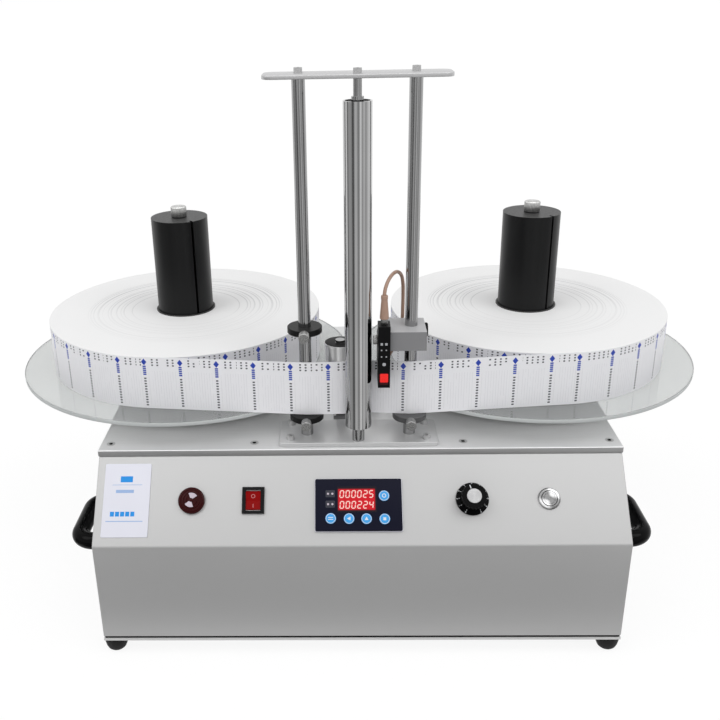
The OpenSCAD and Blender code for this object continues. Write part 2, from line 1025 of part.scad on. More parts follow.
// What the strip runs round: centre, radius, and 1 if it passes in front or -1 behind.
web_rounds = [
  [[-reel_x, reel_y], roll_d / 2, 1],
  [[-post_x, post_y], post_d / 2, 1],
  [[drum_x, drum_y], drum_d / 2, 1],
  [[0, roller_y], roller_d / 2, -1],
  [[post_x, post_y], post_d / 2, 1],
  [[reel_x, reel_y], roll_d / 2, 1]
];

// Signed radius of the strip's middle round item i.
function web_r(i) = web_rounds[i][2] * (web_rounds[i][1] + web_gap + web_t / 2);

// Heading of the straight run from item i to the next.
function web_turn(i) =
  let (d = web_rounds[i + 1][0] - web_rounds[i][0])
  atan2(d[1], d[0]) - asin((web_r(i + 1) - web_r(i)) / norm(d));

// Point of the strip beside item i at a heading, moved sideways by o.
function web_point(i, h, o) = web_rounds[i][0] + (o - web_r(i)) * [-sin(h), cos(h)];

// One edge of the strip, moved sideways by o.
function web_edge(o) = concat(
  [web_point(0, web_turn(0), o)],
  [
    for (i = [1 : len(web_rounds) - 2])
      for (k = [0 : 6])
        web_point(i, web_turn(i - 1) + (web_turn(i) - web_turn(i - 1)) * k / 6, o)
  ],
  [web_point(len(web_rounds) - 1, web_turn(len(web_rounds) - 2), o)]
);

// Label strip from the left roll round the posts, drum and roller to the right roll.
module label_web() {
  back = web_edge(web_t / 2);
  color("white")
    place()
      translate([0, 0, roll_z + 0.5])
        linear_extrude(height = roll_h)
          polygon(concat(web_edge(-web_t / 2), [for (i = [len(back) - 1 : -1 : 0]) back[i]]));
}

// Bearing housings of both spindles, held under the top plate.
module bearing_housings() {
  color("gray")
    place()
      at_reels()
        difference() {
          union() {
            rod(housing_d, 150, plate_top + 18);
            rod(housing_d + 28, shoulder_h - 6, shoulder_h);
          }
          rod(spindle_d + 2 * run_c, 149, plate_top + 19);
        }
}

// Spindle with its thrust collar, disc flange and stud, from height low up.
module reel_spindle(x, low) {
  color("silver")
    place()
      translate([x, reel_y, 0]) {
        rod(spindle_d, low, roll_z);
        rod(34, plate_top + 18 + run_c, disc_z - 5);
        rod(90, disc_z - 6, disc_z);
        rod(stud_d, roll_z - 1, mandrel_top + 10);
      }
}

module right_spindle() {
  reel_spindle(reel_x, 120);
}

module left_spindle() {
  reel_spindle(-reel_x, 104);
}

// Clear reel disc.
module reel_disc(x) {
  color("lightgray")
    place()
      translate([x, reel_y, 0])
        difference() {
          rod(disc_d, disc_z, roll_z);
          rod(spindle_d + 2 * hole_c, disc_z - 1, roll_z + 1);
        }
}

module right_disc() {
  reel_disc(reel_x);
}

module left_disc() {
  reel_disc(-reel_x);
}

// Hollow mandrel with an expansion slot in its wall.
module reel_mandrel(x) {
  color("black")
    place()
      translate([x, reel_y, 0])
        difference() {
          rod(mandrel_d, roll_z, mandrel_top);
          rod(mandrel_d - 8, roll_z - 1, mandrel_top - 8);
          rod(stud_d + 2 * hole_c, roll_z, mandrel_top + 1);
          rotate([0, 0, -55])
            box(mandrel_d / 2 - 6, mandrel_d / 2 + 1, -1.5, 1.5, roll_z - 1, mandrel_top + 1);
        }
}

module right_mandrel() {
  reel_mandrel(reel_x);
}

module left_mandrel() {
  reel_mandrel(-reel_x);
}

// Label roll wound on its core, the core standing a little higher.
module label_roll(x) {
  color("white")
    place()
      translate([x, reel_y, roll_z])
        rotate_extrude()
          polygon([
            [core_in_d / 2, 0], [roll_d / 2, 0], [roll_d / 2, roll_h], [core_d / 2, roll_h],
            [core_d / 2, roll_h + core_over], [core_in_d / 2, roll_h + core_over]
          ]);
}

module right_roll() {
  label_roll(reel_x);
}

module left_roll() {
  label_roll(-reel_x);
}

// Nut knob on a mandrel's stud.
module mandrel_knob(x) {
  color("silver")
    place()
      translate([x, reel_y, 0])
        difference() {
          rod(20, mandrel_top + run_c, mandrel_top + 14);
          rod(stud_d + 2 * run_c, mandrel_top - 1, mandrel_top + 10.5);
        }
}

module right_mandrel_knob() {
  mandrel_knob(reel_x);
}

module left_mandrel_knob() {
  mandrel_knob(-reel_x);
}

// Geared motor on the tray under the right spindle.
module drive_motor() {
  color("dimgray")
    place()
      translate([reel_x, reel_y, 0])
        difference() {
          union() {
            box(-45, 45, -45, 45, 0, 6);
            rod(68, 5, 65);
            box(-36, 36, -36, 36, 64, 100);
          }
          rod(10 + 2 * run_c, 79, 101);
        }
}

// Coupling between the motor and the right spindle.
module motor_coupling() {
  color("silver")
    place()
      translate([reel_x, reel_y, 0])
        difference() {
          union() {
            rod(10, 80, 101);
            rod(32, 100 + run_c, 140);
          }
          rod(spindle_d + 2 * hole_c, 120, 141);
        }
}

// Tension brake hung under the left bearing housing.
module tension_brake() {
  color("dimgray")
    place()
      translate([-reel_x, reel_y, 0])
        difference() {
          rod(76, 110, 150);
          rod(spindle_d + 2 * run_c, 109, 151);
        }
}

// Switched power supply on the tray.
module power_supply() {
  color("silver")
    place() {
      translate([45 - body_w / 2, reel_y - 161, 0]) {
        box(0, 159, 0, 97, 0, 38);
        box(159, 169, 5, 92, 0, 22);
      }
    }
}

// Motor control board on its standoffs.
module control_board() {
  color("darkgreen")
    place()
      translate([15, reel_y - 101, 0]) {
        box(-55, 55, -40, 40, 8, 9.6);
        for (x = [-50, 50])
          for (y = [-35, 35])
            translate([x, y, 0])
              rod(6, 0, 8.5);
        box(-45, -10, -25, 10, 9, 40);
        box(5, 45, -30, -15, 9, 24);
        box(5, 45, 10, 32, 9, 26);
      }
}

// Mains inlet in the rear panel.
module mains_inlet() {
  color("black")
    place()
      translate([inlet_x, body_d, inlet_z]) {
        difference() {
          union() {
            box(-16, 16, 0, 3, -12.5, 12.5);
            box(-13, 13, -26, 1, -9.5, 9.5);
          }
          box(-11.5, 11.5, -19, 4, -8, 8);
        }
        for (p = [[-7, -2], [7, -2], [0, 3]])
          box(p[0] - 1, p[0] + 1, -20, -8, p[1] - 2, p[1] + 2);
      }
}

cabinet_shell();
rear_panel();
base_tray();
top_plate();
rubber_feet();
machine_screws();
left_handle();
right_handle();
alarm_buzzer();
switch_housing();
counter_case();
counter_window();
speed_pot();
button_housing();
tower_plate();
left_post();
right_post();
guide_shafts();
tie_bar();
cable_gland();
sensor_cable();
label_web();
bearing_housings();
drive_motor();
tension_brake();
power_supply();
control_board();
mains_inlet();
right_spindle();
right_disc();
right_mandrel();
right_roll();
motor_coupling();
right_mandrel_knob();
left_spindle();
left_disc();
left_mandrel();
left_roll();
left_mandrel_knob();
roller_tube();
measuring_drum();
left_upper_collar();
left_lower_collar();
right_lower_collar();
left_upper_screw();
left_lower_screw();
right_lower_screw();
sensor_block();
sensor_body();
sensor_boot();
sensor_bolt();
sensor_clamp_knob();
switch_rocker();
speed_knob();
start_button();
mode_key();
shift_key();
up_key();
set_key();
reset_key();
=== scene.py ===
"""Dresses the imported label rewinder: finishes, printed strip, display, cable, light and camera.

Sizes in the sub-assemblies are millimetres of the cabinet: x from its middle, y back from the front fold,
z up from the lower edge of its sheet. Profiles are rows of radius and height.
"""

import logging
import math
from dataclasses import dataclass
from enum import Enum
from functools import cache
from typing import Sequence

import bmesh
import bpy
import numpy as np
from mathutils import Matrix, Vector


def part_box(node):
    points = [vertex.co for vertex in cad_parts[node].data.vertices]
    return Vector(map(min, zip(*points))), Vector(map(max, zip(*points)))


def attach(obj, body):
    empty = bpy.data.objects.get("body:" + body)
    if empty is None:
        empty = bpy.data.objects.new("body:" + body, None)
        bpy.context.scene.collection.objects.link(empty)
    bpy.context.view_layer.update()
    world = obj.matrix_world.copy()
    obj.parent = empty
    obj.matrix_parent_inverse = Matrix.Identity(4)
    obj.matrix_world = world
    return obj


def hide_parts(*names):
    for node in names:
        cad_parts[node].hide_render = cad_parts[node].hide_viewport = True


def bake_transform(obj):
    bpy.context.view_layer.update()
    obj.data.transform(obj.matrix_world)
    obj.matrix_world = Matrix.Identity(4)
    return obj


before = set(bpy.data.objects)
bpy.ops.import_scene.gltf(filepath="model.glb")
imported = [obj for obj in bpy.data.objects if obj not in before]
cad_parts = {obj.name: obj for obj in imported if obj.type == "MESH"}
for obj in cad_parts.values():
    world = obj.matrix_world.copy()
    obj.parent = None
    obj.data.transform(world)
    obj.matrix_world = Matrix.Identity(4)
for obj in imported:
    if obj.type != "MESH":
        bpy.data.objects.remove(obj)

LOG = logging.getLogger("label_rewinder")
Array = np.ndarray
Point = tuple[float, float, float]
Colour = tuple[float, float, float]
Pair = tuple[float, float]
Block = tuple[Pair, Pair, Pair]
Profile = tuple[Pair, ...]

FOLD_Y_MM = -253.5
BASE_Z_MM = 25.0
FRONT_H_MM = 126.5
SHOULDER_H_MM = 203.0
SLOPE_RUN_MM = 70.0
SLOPE = math.atan2(SHOULDER_H_MM - FRONT_H_MM, SLOPE_RUN_MM)
ROOT = "cabinet"


def row(points: Array | Sequence) -> Array:
    """Cabinet millimetres (from the fold line and lower edge) to the row frame in metres.

    Args:
        points: Array whose last axis is x, y, z in mm.

    Returns:
        The same points in metres, in the row frame.
    """
    return (np.asarray(points, float) + np.array([0.0, FOLD_Y_MM, BASE_Z_MM])) / 1000.0


@dataclass
class Surface:
    """A mesh as arrays: points, face index lists, and an optional UV for each point."""

    points: Array
    faces: list
    uv: Array | None = None

    def placed(self, matrix: Array, offset: Array | Sequence) -> "Surface":
        """Turns the points by a 3 by 3 matrix and then adds an offset."""
        return Surface(self.points @ np.asarray(matrix, float).T + np.asarray(offset, float), self.faces,
                       self.uv)

    def moved(self, offset: Array | Sequence) -> "Surface":
        """Adds an offset to the points."""
        return self.placed(np.eye(3), offset)

    @staticmethod
    def join(parts: Sequence["Surface"]) -> "Surface":
        """Puts several surfaces into one.

        Args:
            parts: The surfaces, none or all with UVs.

        Returns:
            One surface holding all faces.
        """
        starts = np.concatenate([[0], np.cumsum([len(p.points) for p in parts])])
        faces = [[int(i) + int(s) for i in f] for p, s in zip(parts, starts) for f in p.faces]
        with_uv = all(p.uv is not None for p in parts)
        uv = np.concatenate([p.uv for p in parts]) if with_uv else None
        return Surface(np.concatenate([p.points for p in parts]), faces, uv)


def grid_quads(rows: int, cols: int, wrap_rows: bool = False, wrap_cols: bool = False) -> list:
    """Quads of a grid of rows by cols points, stored row by row.

    Args:
        rows: Points along the first parameter.
        cols: Points along the second parameter.
        wrap_rows: Whether the last row joins the first.
        wrap_cols: Whether the last column joins the first.

    Returns:
        A list of four-index faces.
    """
    i, j = np.meshgrid(np.arange(rows if wrap_rows else rows - 1),
                       np.arange(cols if wrap_cols else cols - 1), indexing="ij")
    k, m = (i + 1) % rows, (j + 1) % cols
    return np.stack([i * cols + j, i * cols + m, k * cols + m, k * cols + j], -1).reshape(-1, 4).tolist()


def revolve(profile: Array | Sequence, steps: int = 96, uv: bool = False) -> Surface:
    """Turns a profile round Z: P(s, t) = (r(s) cos t, r(s) sin t, z(s)), t over a full turn.

    Args:
        profile: Rows of radius and height.
        steps: Points round the turn.
        uv: Whether to store arc length round the largest radius and height as UV.

    Returns:
        The surface, its seam doubled so that a UV can run right round.
    """
    rz = np.asarray(profile, float)
    t = np.linspace(0.0, 2.0 * np.pi, steps + 1)
    r, z = rz[:, :1], rz[:, 1:]
    pts = np.stack([r * np.cos(t), r * np.sin(t), np.broadcast_to(z, (len(rz), steps + 1))], -1)
    pair = None
    if uv:
        wide = np.broadcast_to(rz[:, 0].max() * t, pts.shape[:2])
        pair = np.stack([wide, pts[..., 2]], -1).reshape(-1, 2)
    return Surface(pts.reshape(-1, 3), grid_quads(len(rz), steps + 1), pair)


def loft(sections: Array) -> Surface:
    """Joins closed loops into a skin with both ends capped: P(i, j) is point j of loop i.

    Args:
        sections: Array of loops by points by three.

    Returns:
        The closed surface.
    """
    m, n, _ = sections.shape
    caps = [list(range(n - 1, -1, -1)), list(range((m - 1) * n, m * n))]
    return Surface(sections.reshape(-1, 3), grid_quads(m, n, wrap_cols=True) + caps)


def rounded_polygon(corners: Array | Sequence, radius: float, arc: int = 6) -> Array:
    """Outline with each corner cut back and bent by a quadratic curve.

    Args:
        corners: Rows of two coordinates, in order.
        radius: How far the bend starts from each corner.
        arc: Points in each bend.

    Returns:
        The outline's points, rows of two.
    """
    c = np.asarray(corners, float)
    before, after = np.roll(c, 1, 0) - c, np.roll(c, -1, 0) - c
    a = c + radius * before / np.linalg.norm(before, axis=1, keepdims=True)
    b = c + radius * after / np.linalg.norm(after, axis=1, keepdims=True)
    t = np.linspace(0.0, 1.0, arc)[None, :, None]
    return ((1 - t) ** 2 * a[:, None] + 2 * t * (1 - t) * c[:, None] + t ** 2 * b[:, None]).reshape(-1, 2)


def eased_heights(low: float, high: float, bevel: float, steps: int = 4) -> tuple[Array, Array]:
    """Heights and insets of a prism whose two rims are rounded by quarter circles.

    Args:
        low: Lower end.
        high: Upper end.
        bevel: Radius of the rims.
        steps: Points in each quarter.

    Returns:
        Heights, and how far each loop is drawn in.
    """
    t = np.linspace(0.0, np.pi / 2, steps)
    rise, inset = bevel * (1 - np.cos(t)), bevel * (1 - np.sin(t))
    return np.concatenate([low + rise, (high - rise)[::-1]]), np.concatenate([inset, inset[::-1]])


def plate(x: Sequence[float], y: Sequence[float], z: Sequence[float], corner: float,
          bevel: float) -> Surface:
    """Rounded plate: an outline carried up Z, drawn in at both rims by a quarter circle.

    Args:
        x: Left and right, in mm.
        y: Front and rear, in mm.
        z: Bottom and top, in mm.
        corner: Radius of the upright corners.
        bevel: Radius of the rims.

    Returns:
        The closed surface, in mm.
    """
    heights, insets = eased_heights(z[0], z[1], bevel)
    loops = [np.column_stack([
        rounded_polygon([[x[0] + i, y[0] + i], [x[1] - i, y[0] + i],
                         [x[1] - i, y[1] - i], [x[0] + i, y[1] - i]],
                        max(corner - i, 0.02)), np.full(24, h)]) for h, i in zip(heights, insets)]
    return loft(np.array(loops))


def tube(path: Array, radius: float, sides: int = 16) -> Surface:
    """Tube round a path: P(i, k) = path(i) + r (cos a n(i) + sin a b(i)), with capped ends.

    Args:
        path: Rows of three, no step along X alone.
        radius: Tube radius, in the path's unit.
        sides: Points round the tube.

    Returns:
        The closed surface.
    """
    t = np.gradient(path, axis=0)
    t /= np.linalg.norm(t, axis=1, keepdims=True)
    n = np.cross(t, [1.0, 0.0, 0.0])
    n /= np.linalg.norm(n, axis=1, keepdims=True)
    b = np.cross(t, n)
    a = np.linspace(0, 2 * np.pi, sides, endpoint=False)[None, :, None]
    return loft(path[:, None] + radius * (np.cos(a) * n[:, None] + np.sin(a) * b[:, None]))


def knurled(radius: float, low: float, high: float, ridges: int, depth: float, chamfer: float,
            bore: float = 0.0) -> Surface:
    """Knurled round: r(t, z) = R - c(z) - d sin^2(ridges t / 2), c(z) the chamfer at both ends.

    Args:
        radius: Outside radius.
        low: Lower end.
        high: Upper end.
        ridges: Ridges round the rim.
        depth: Depth of the grooves.
        chamfer: Size of the end chamfers.
        bore: Radius where the end faces stop, or 0.

    Returns:
        The surface, its axis on Z.
    """
    t = np.linspace(0, 2 * np.pi, ridges * 6 + 1)
    z = np.array([low, low, low + chamfer, high - chamfer, high, high])
    cut = np.array([radius - bore, chamfer, 0, 0, chamfer, radius - bore])
    share = np.array([0, 0, 1, 1, 0, 0])
    r = radius - cut[:, None] - share[:, None] * depth * np.sin(ridges * t / 2) ** 2
    pts = np.stack([r * np.cos(t), r * np.sin(t), np.broadcast_to(z[:, None], r.shape)], -1)
    return Surface(pts.reshape(-1, 3), grid_quads(6, len(t)))


PANEL_TURN = np.array([[1, 0, 0], [0, math.cos(SLOPE), -math.sin(SLOPE)],
                       [0, math.sin(SLOPE), math.cos(SLOPE)]])


def on_panel(part: Surface, x: float, s: float) -> Surface:
    """Puts a surface on the sloped panel, its Z out of the sheet and its Y up the slope.

    Args:
        part: Surface in mm.
        x: Distance across, in mm.
        s: Distance up the slope from the fold, in mm.

    Returns:
        The surface in cabinet mm.
    """
    return part.placed(PANEL_TURN, [x, s * math.cos(SLOPE), FRONT_H_MM + s * math.sin(SLOPE)])


AXIS_Y = np.array([[1, 0, 0], [0, 0, -1], [0, 1, 0]], float)
AXIS_X = np.array([[0, 0, 1], [0, 1, 0], [-1, 0, 0]], float)


class Grain(Enum):
    """Fine structure that a finish carries."""

    SPECKLE = "speckle"
    BRUSHED_X = "brushed_x"
    DRAWN_Z = "drawn_z"
    MOULDED = "moulded"


class Nodes:
    """Small helper that adds and links shader nodes in one tree."""

    def __init__(self, tree: bpy.types.NodeTree) -> None:
        """Keeps the tree."""
        self.tree = tree

    def add(self, kind: str, *links: object, **props: object) -> bpy.types.Node:
        """Adds a node, sets its properties and fills its inputs in order.

        Args:
            kind: Node class name.
            *links: Sockets to link, numbers or tuples to set, or None to leave.
            **props: Properties set before the inputs.

        Returns:
            The node.
        """
        node = self.tree.nodes.new(kind)
        for key, value in props.items():
            setattr(node, key, value)
        for index, value in enumerate(links):
            self.feed(node.inputs[index], value)
        return node

    def fill(self, node: bpy.types.Node, values: dict[str, object]) -> None:
        """Links or sets inputs of a node by name."""
        for name, value in values.items():
            self.feed(node.inputs[name], value)

    def feed(self, socket: bpy.types.NodeSocket, value: object) -> None:
        """Links a socket or sets its value.

        Args:
            socket: The input to fill.
            value: An output to link, a value to set, or None to leave it.
        """
        if isinstance(value, bpy.types.NodeSocket):
            self.tree.links.new(value, socket)
        elif value is not None:
            socket.default_value = value

    def math(self, op: str, a: object, b: object = None, c: object = None) -> bpy.types.NodeSocket:
        """Adds a Math node and returns its output."""
        return self.add("ShaderNodeMath", a, b, c, operation=op).outputs[0]

    def vector(self, op: str, a: object, b: object = None) -> bpy.types.NodeSocket:
        """Adds a Vector Math node and returns its output."""
        node = self.add("ShaderNodeVectorMath", a, b, operation=op)
        return node.outputs["Value" if op in ("LENGTH", "DOT_PRODUCT") else "Vector"]

    def noise(self, **inputs: object) -> bpy.types.NodeSocket:
        """Adds a noise texture, along one line where W is given.

        Args:
            **inputs: Its inputs by name.

        Returns:
            The noise value.
        """
        node = self.add("ShaderNodeTexNoise", noise_dimensions="1D" if "W" in inputs else "3D")
        self.fill(node, inputs)
        return node.outputs[0]

    def grain(self, scale: float, broad: float, stretch: Point = (1.0, 1.0, 1.0)) -> bpy.types.Node:
        """Adds the grain group with its inputs set."""
        return self.add("ShaderNodeGroup", stretch, scale, broad, node_tree=GrainGroup.get())

    def span(self, value: object, *limits: object, **props: object) -> bpy.types.NodeSocket:
        """Maps a value from the first two limits to the last two."""
        return self.add("ShaderNodeMapRange", value, *limits, **props).outputs[0]

    def relief(self, height: object, strength: float, distance: float) -> bpy.types.NodeSocket:
        """Adds a bump.

        Args:
            height: Height from 0 to 1.
            strength: How strong it is.
            distance: Depth of the relief, in metres.

        Returns:
            The bent normal.
        """
        node = self.add("ShaderNodeBump")
        self.fill(node, {"Strength": strength, "Distance": distance, "Height": height})
        return node.outputs[0]

    def between(self, value: object, low: float, high: float) -> bpy.types.NodeSocket:
        """1 where low < value < high, else 0."""
        return self.math("MULTIPLY", self.math("GREATER_THAN", value, low),
                         self.math("LESS_THAN", value, high))

    def mix(self, factor: object, a: object, b: object) -> bpy.types.NodeSocket:
        """Mixes two colours.

        Args:
            factor: Share of the second.
            a: First colour.
            b: Second colour.

        Returns:
            The mixed colour.
        """
        node = self.tree.nodes.new("ShaderNodeMix")
        node.data_type = "RGBA"
        self.feed(node.inputs[0], factor)
        for socket, value in ((node.inputs[6], a), (node.inputs[7], b)):
            self.feed(socket, (*value, 1.0) if isinstance(value, tuple) and len(value) == 3 else value)
        return node.outputs[2]


class GrainGroup:
    """Shader group: noise on stretched Object coordinates, as a spread about 0.5 and as a height."""

    NAME = "surface_grain"

    @classmethod
    @cache
    def get(cls) -> bpy.types.NodeTree:
        """Builds the group once.

        Returns:
            The node group with Stretch, Scale and Broad inputs and Value, Fine and Height outputs.
        """
        tree = bpy.data.node_groups.new(cls.NAME, "ShaderNodeTree")
        face = tree.interface
        face.new_socket("Stretch", in_out="INPUT", socket_type="NodeSocketVector")
        face.new_socket("Scale", in_out="INPUT", socket_type="NodeSocketFloat")
        face.new_socket("Broad", in_out="INPUT", socket_type="NodeSocketFloat")
        for name in ("Value", "Fine", "Height"):
            face.new_socket(name, in_out="OUTPUT", socket_type="NodeSocketFloat")
        n = Nodes(tree)
        source = tree.nodes.new("NodeGroupInput")
        sink = tree.nodes.new("NodeGroupOutput")
        coords = n.add("ShaderNodeTexCoord").outputs["Object"]
        stretched = n.vector("MULTIPLY", coords, source.outputs["Stretch"])
        fine = n.noise(Vector=stretched, Scale=source.outputs["Scale"], Detail=5.0)
        broad = n.noise(Vector=coords, Scale=source.outputs["Broad"], Detail=3.0)
        both = n.math("ADD", n.math("MULTIPLY", fine, 0.6), n.math("MULTIPLY", broad, 0.4))
        n.fill(sink, {"Value": both, "Fine": fine, "Height": fine})
        return tree


class LabelPrintGroup:
    """Shader group: a generic label print from a UV in metres, as masks for grey and blue ink."""

    NAME = "label_print"
    PITCH_MM = 43.0

    @classmethod
    @cache
    def get(cls) -> bpy.types.NodeTree:
        """Builds the group once.

        Returns:
            The node group with a UV input and Grey, Dark and Blue outputs.
        """
        tree = bpy.data.node_groups.new(cls.NAME, "ShaderNodeTree")
        tree.interface.new_socket("UV", in_out="INPUT", socket_type="NodeSocketVector")
        for name in ("Grey", "Dark", "Blue"):
            tree.interface.new_socket(name, in_out="OUTPUT", socket_type="NodeSocketFloat")
        n = Nodes(tree)
        source = tree.nodes.new("NodeGroupInput")
        sink = tree.nodes.new("NodeGroupOutput")
        split = n.add("ShaderNodeSeparateXYZ", source.outputs["UV"])
        along = n.math("MULTIPLY", split.outputs[0], 1000.0)
        up = n.math("MULTIPLY", split.outputs[1], 1000.0)
        u = n.math("FLOORED_MODULO", along, cls.PITCH_MM)
        chance = n.add("ShaderNodeTexWhiteNoise", noise_dimensions="2D")
        cell = n.add("ShaderNodeCombineXYZ", n.math("FLOOR", n.math("DIVIDE", along, 6.2)),
                     n.math("FLOOR", n.math("DIVIDE", up, 3.4)), 0.0)
        n.feed(chance.inputs["Vector"], cell.outputs[0])
        stretched = n.add("ShaderNodeCombineXYZ", n.math("MULTIPLY", along, 0.9),
                          n.math("MULTIPLY", up, 0.06), 0.0)
        worn = n.noise(Vector=stretched.outputs[0], Scale=1.0)

        def box(u0: float, u1: float, up0: float, up1: float) -> bpy.types.NodeSocket:
            """Mask of one printed area in the label's own mm."""
            return n.math("MULTIPLY", n.between(u, u0, u1), n.between(up, up0, up1))

        def comb(value: object, pitch: float, share: float) -> bpy.types.NodeSocket:
            """Mask of regular marks, share of the pitch wide."""
            return n.math("LESS_THAN", n.math("FLOORED_MODULO", value, pitch), pitch * share)

        lozenge = n.math("ADD", n.math("ABSOLUTE", n.math("MULTIPLY_ADD", u, 1 / 3.3, -3.6 / 3.3)),
                         n.math("ABSOLUTE", n.math("MULTIPLY_ADD", up, 1 / 4.3, -59.0 / 4.3)))
        words = n.math("MULTIPLY", box(1.7, 5.5, 42.0, 54.4), comb(up, 2.5, 0.74))
        blue = n.math("MAXIMUM", n.math("LESS_THAN", lozenge, 1.0), words)
        seam = n.math("MULTIPLY", box(2.2, 5.0, 3.0, 40.0), comb(up, 3.4, 0.5))
        rows = n.math("MAXIMUM", box(12.0, 24.5, 52.8, 63.0), box(27.0, 40.5, 52.8, 63.0))
        dots = n.math("MULTIPLY", n.math("MULTIPLY", comb(along, 6.2, 0.34), comb(up, 3.4, 0.5)), rows)
        dots = n.math("MULTIPLY", dots, n.math("GREATER_THAN", chance.outputs["Value"], 0.08))
        faint = n.math("MULTIPLY", box(8.0, 8.8, 4.0, 46.0), comb(up, 1.7, 0.5))
        lines = n.math("MULTIPLY", box(12.5, 41.0, 3.0, 48.0), comb(along, 3.1, 0.13))
        lines = n.math("MULTIPLY", lines, n.math("GREATER_THAN", worn, 0.42))
        grey = n.math("MULTIPLY", n.math("MAXIMUM", faint, lines), 0.24)
        n.fill(sink, {"Grey": grey, "Dark": n.math("MAXIMUM", dots, seam), "Blue": blue})
        return tree


@dataclass(frozen=True)
class Finish:
    """A surface finish: colours, gloss and the fine grain that moves them."""

    name: str
    colour: Colour
    rough: float
    metal: float = 0.0
    grain: Grain = Grain.MOULDED
    spread: float = 0.06
    rough_spread: float = 0.08
    relief_mm: float = 0.01
    coat: float = 0.0
    specular: float = 0.5
    glow: float = 0.0
    aniso: float = 0.0

    STRETCHES = {
        Grain.SPECKLE: ((1.0, 1.0, 1.0), 900.0, 9.0),
        Grain.MOULDED: ((1.0, 1.0, 1.0), 1500.0, 25.0),
        Grain.BRUSHED_X: ((0.012, 1.0, 1.0), 1400.0, 6.0),
        Grain.DRAWN_Z: ((1.0, 1.0, 0.004), 420.0, 12.0),
    }

    @cache
    def build(self) -> bpy.types.Material:
        """Builds the material once.

        Returns:
            The procedural material.
        """
        material, n, shader = new_material(f"{self.name}_finish")
        stretch, scale, broad = self.STRETCHES[self.grain]
        group = n.grain(scale, broad, stretch)
        paint = tuple(c * (1 - self.glow) for c in self.colour)
        low = tuple(max(c * (1 - 2 * self.spread), 0.0) for c in paint)
        high = tuple(min(c * (1 + 2 * self.spread), 1.0) for c in paint)
        limits = max(self.rough - self.rough_spread, 0.02), min(self.rough + self.rough_spread, 1.0)
        n.fill(shader, {
            "Base Color": n.mix(group.outputs["Value"], low, high),
            "Roughness": n.span(group.outputs["Fine"], 0.25, 0.75, *limits),
            "Metallic": self.metal, "Specular IOR Level": self.specular, "Anisotropic": self.aniso,
            "Coat Weight": self.coat, "Coat Roughness": 0.08,
            "Normal": n.relief(group.outputs["Height"], 0.35, self.relief_mm / 1000.0),
        })
        if self.glow:
            n.fill(shader, {"Emission Color": (*self.colour, 1.0), "Emission Strength": self.glow})
        return material


def new_material(name: str) -> tuple[bpy.types.Material, Nodes, bpy.types.Node]:
    """Makes an empty node material.

    Args:
        name: Material name.

    Returns:
        The material, a node helper and its Principled shader.
    """
    material = bpy.data.materials.new(name)
    material.use_nodes = True
    material.node_tree.nodes.clear()
    n = Nodes(material.node_tree)
    shader = n.add("ShaderNodeBsdfPrincipled")
    out = n.add("ShaderNodeOutputMaterial")
    n.feed(out.inputs["Surface"], shader.outputs[0])
    return material, n, shader


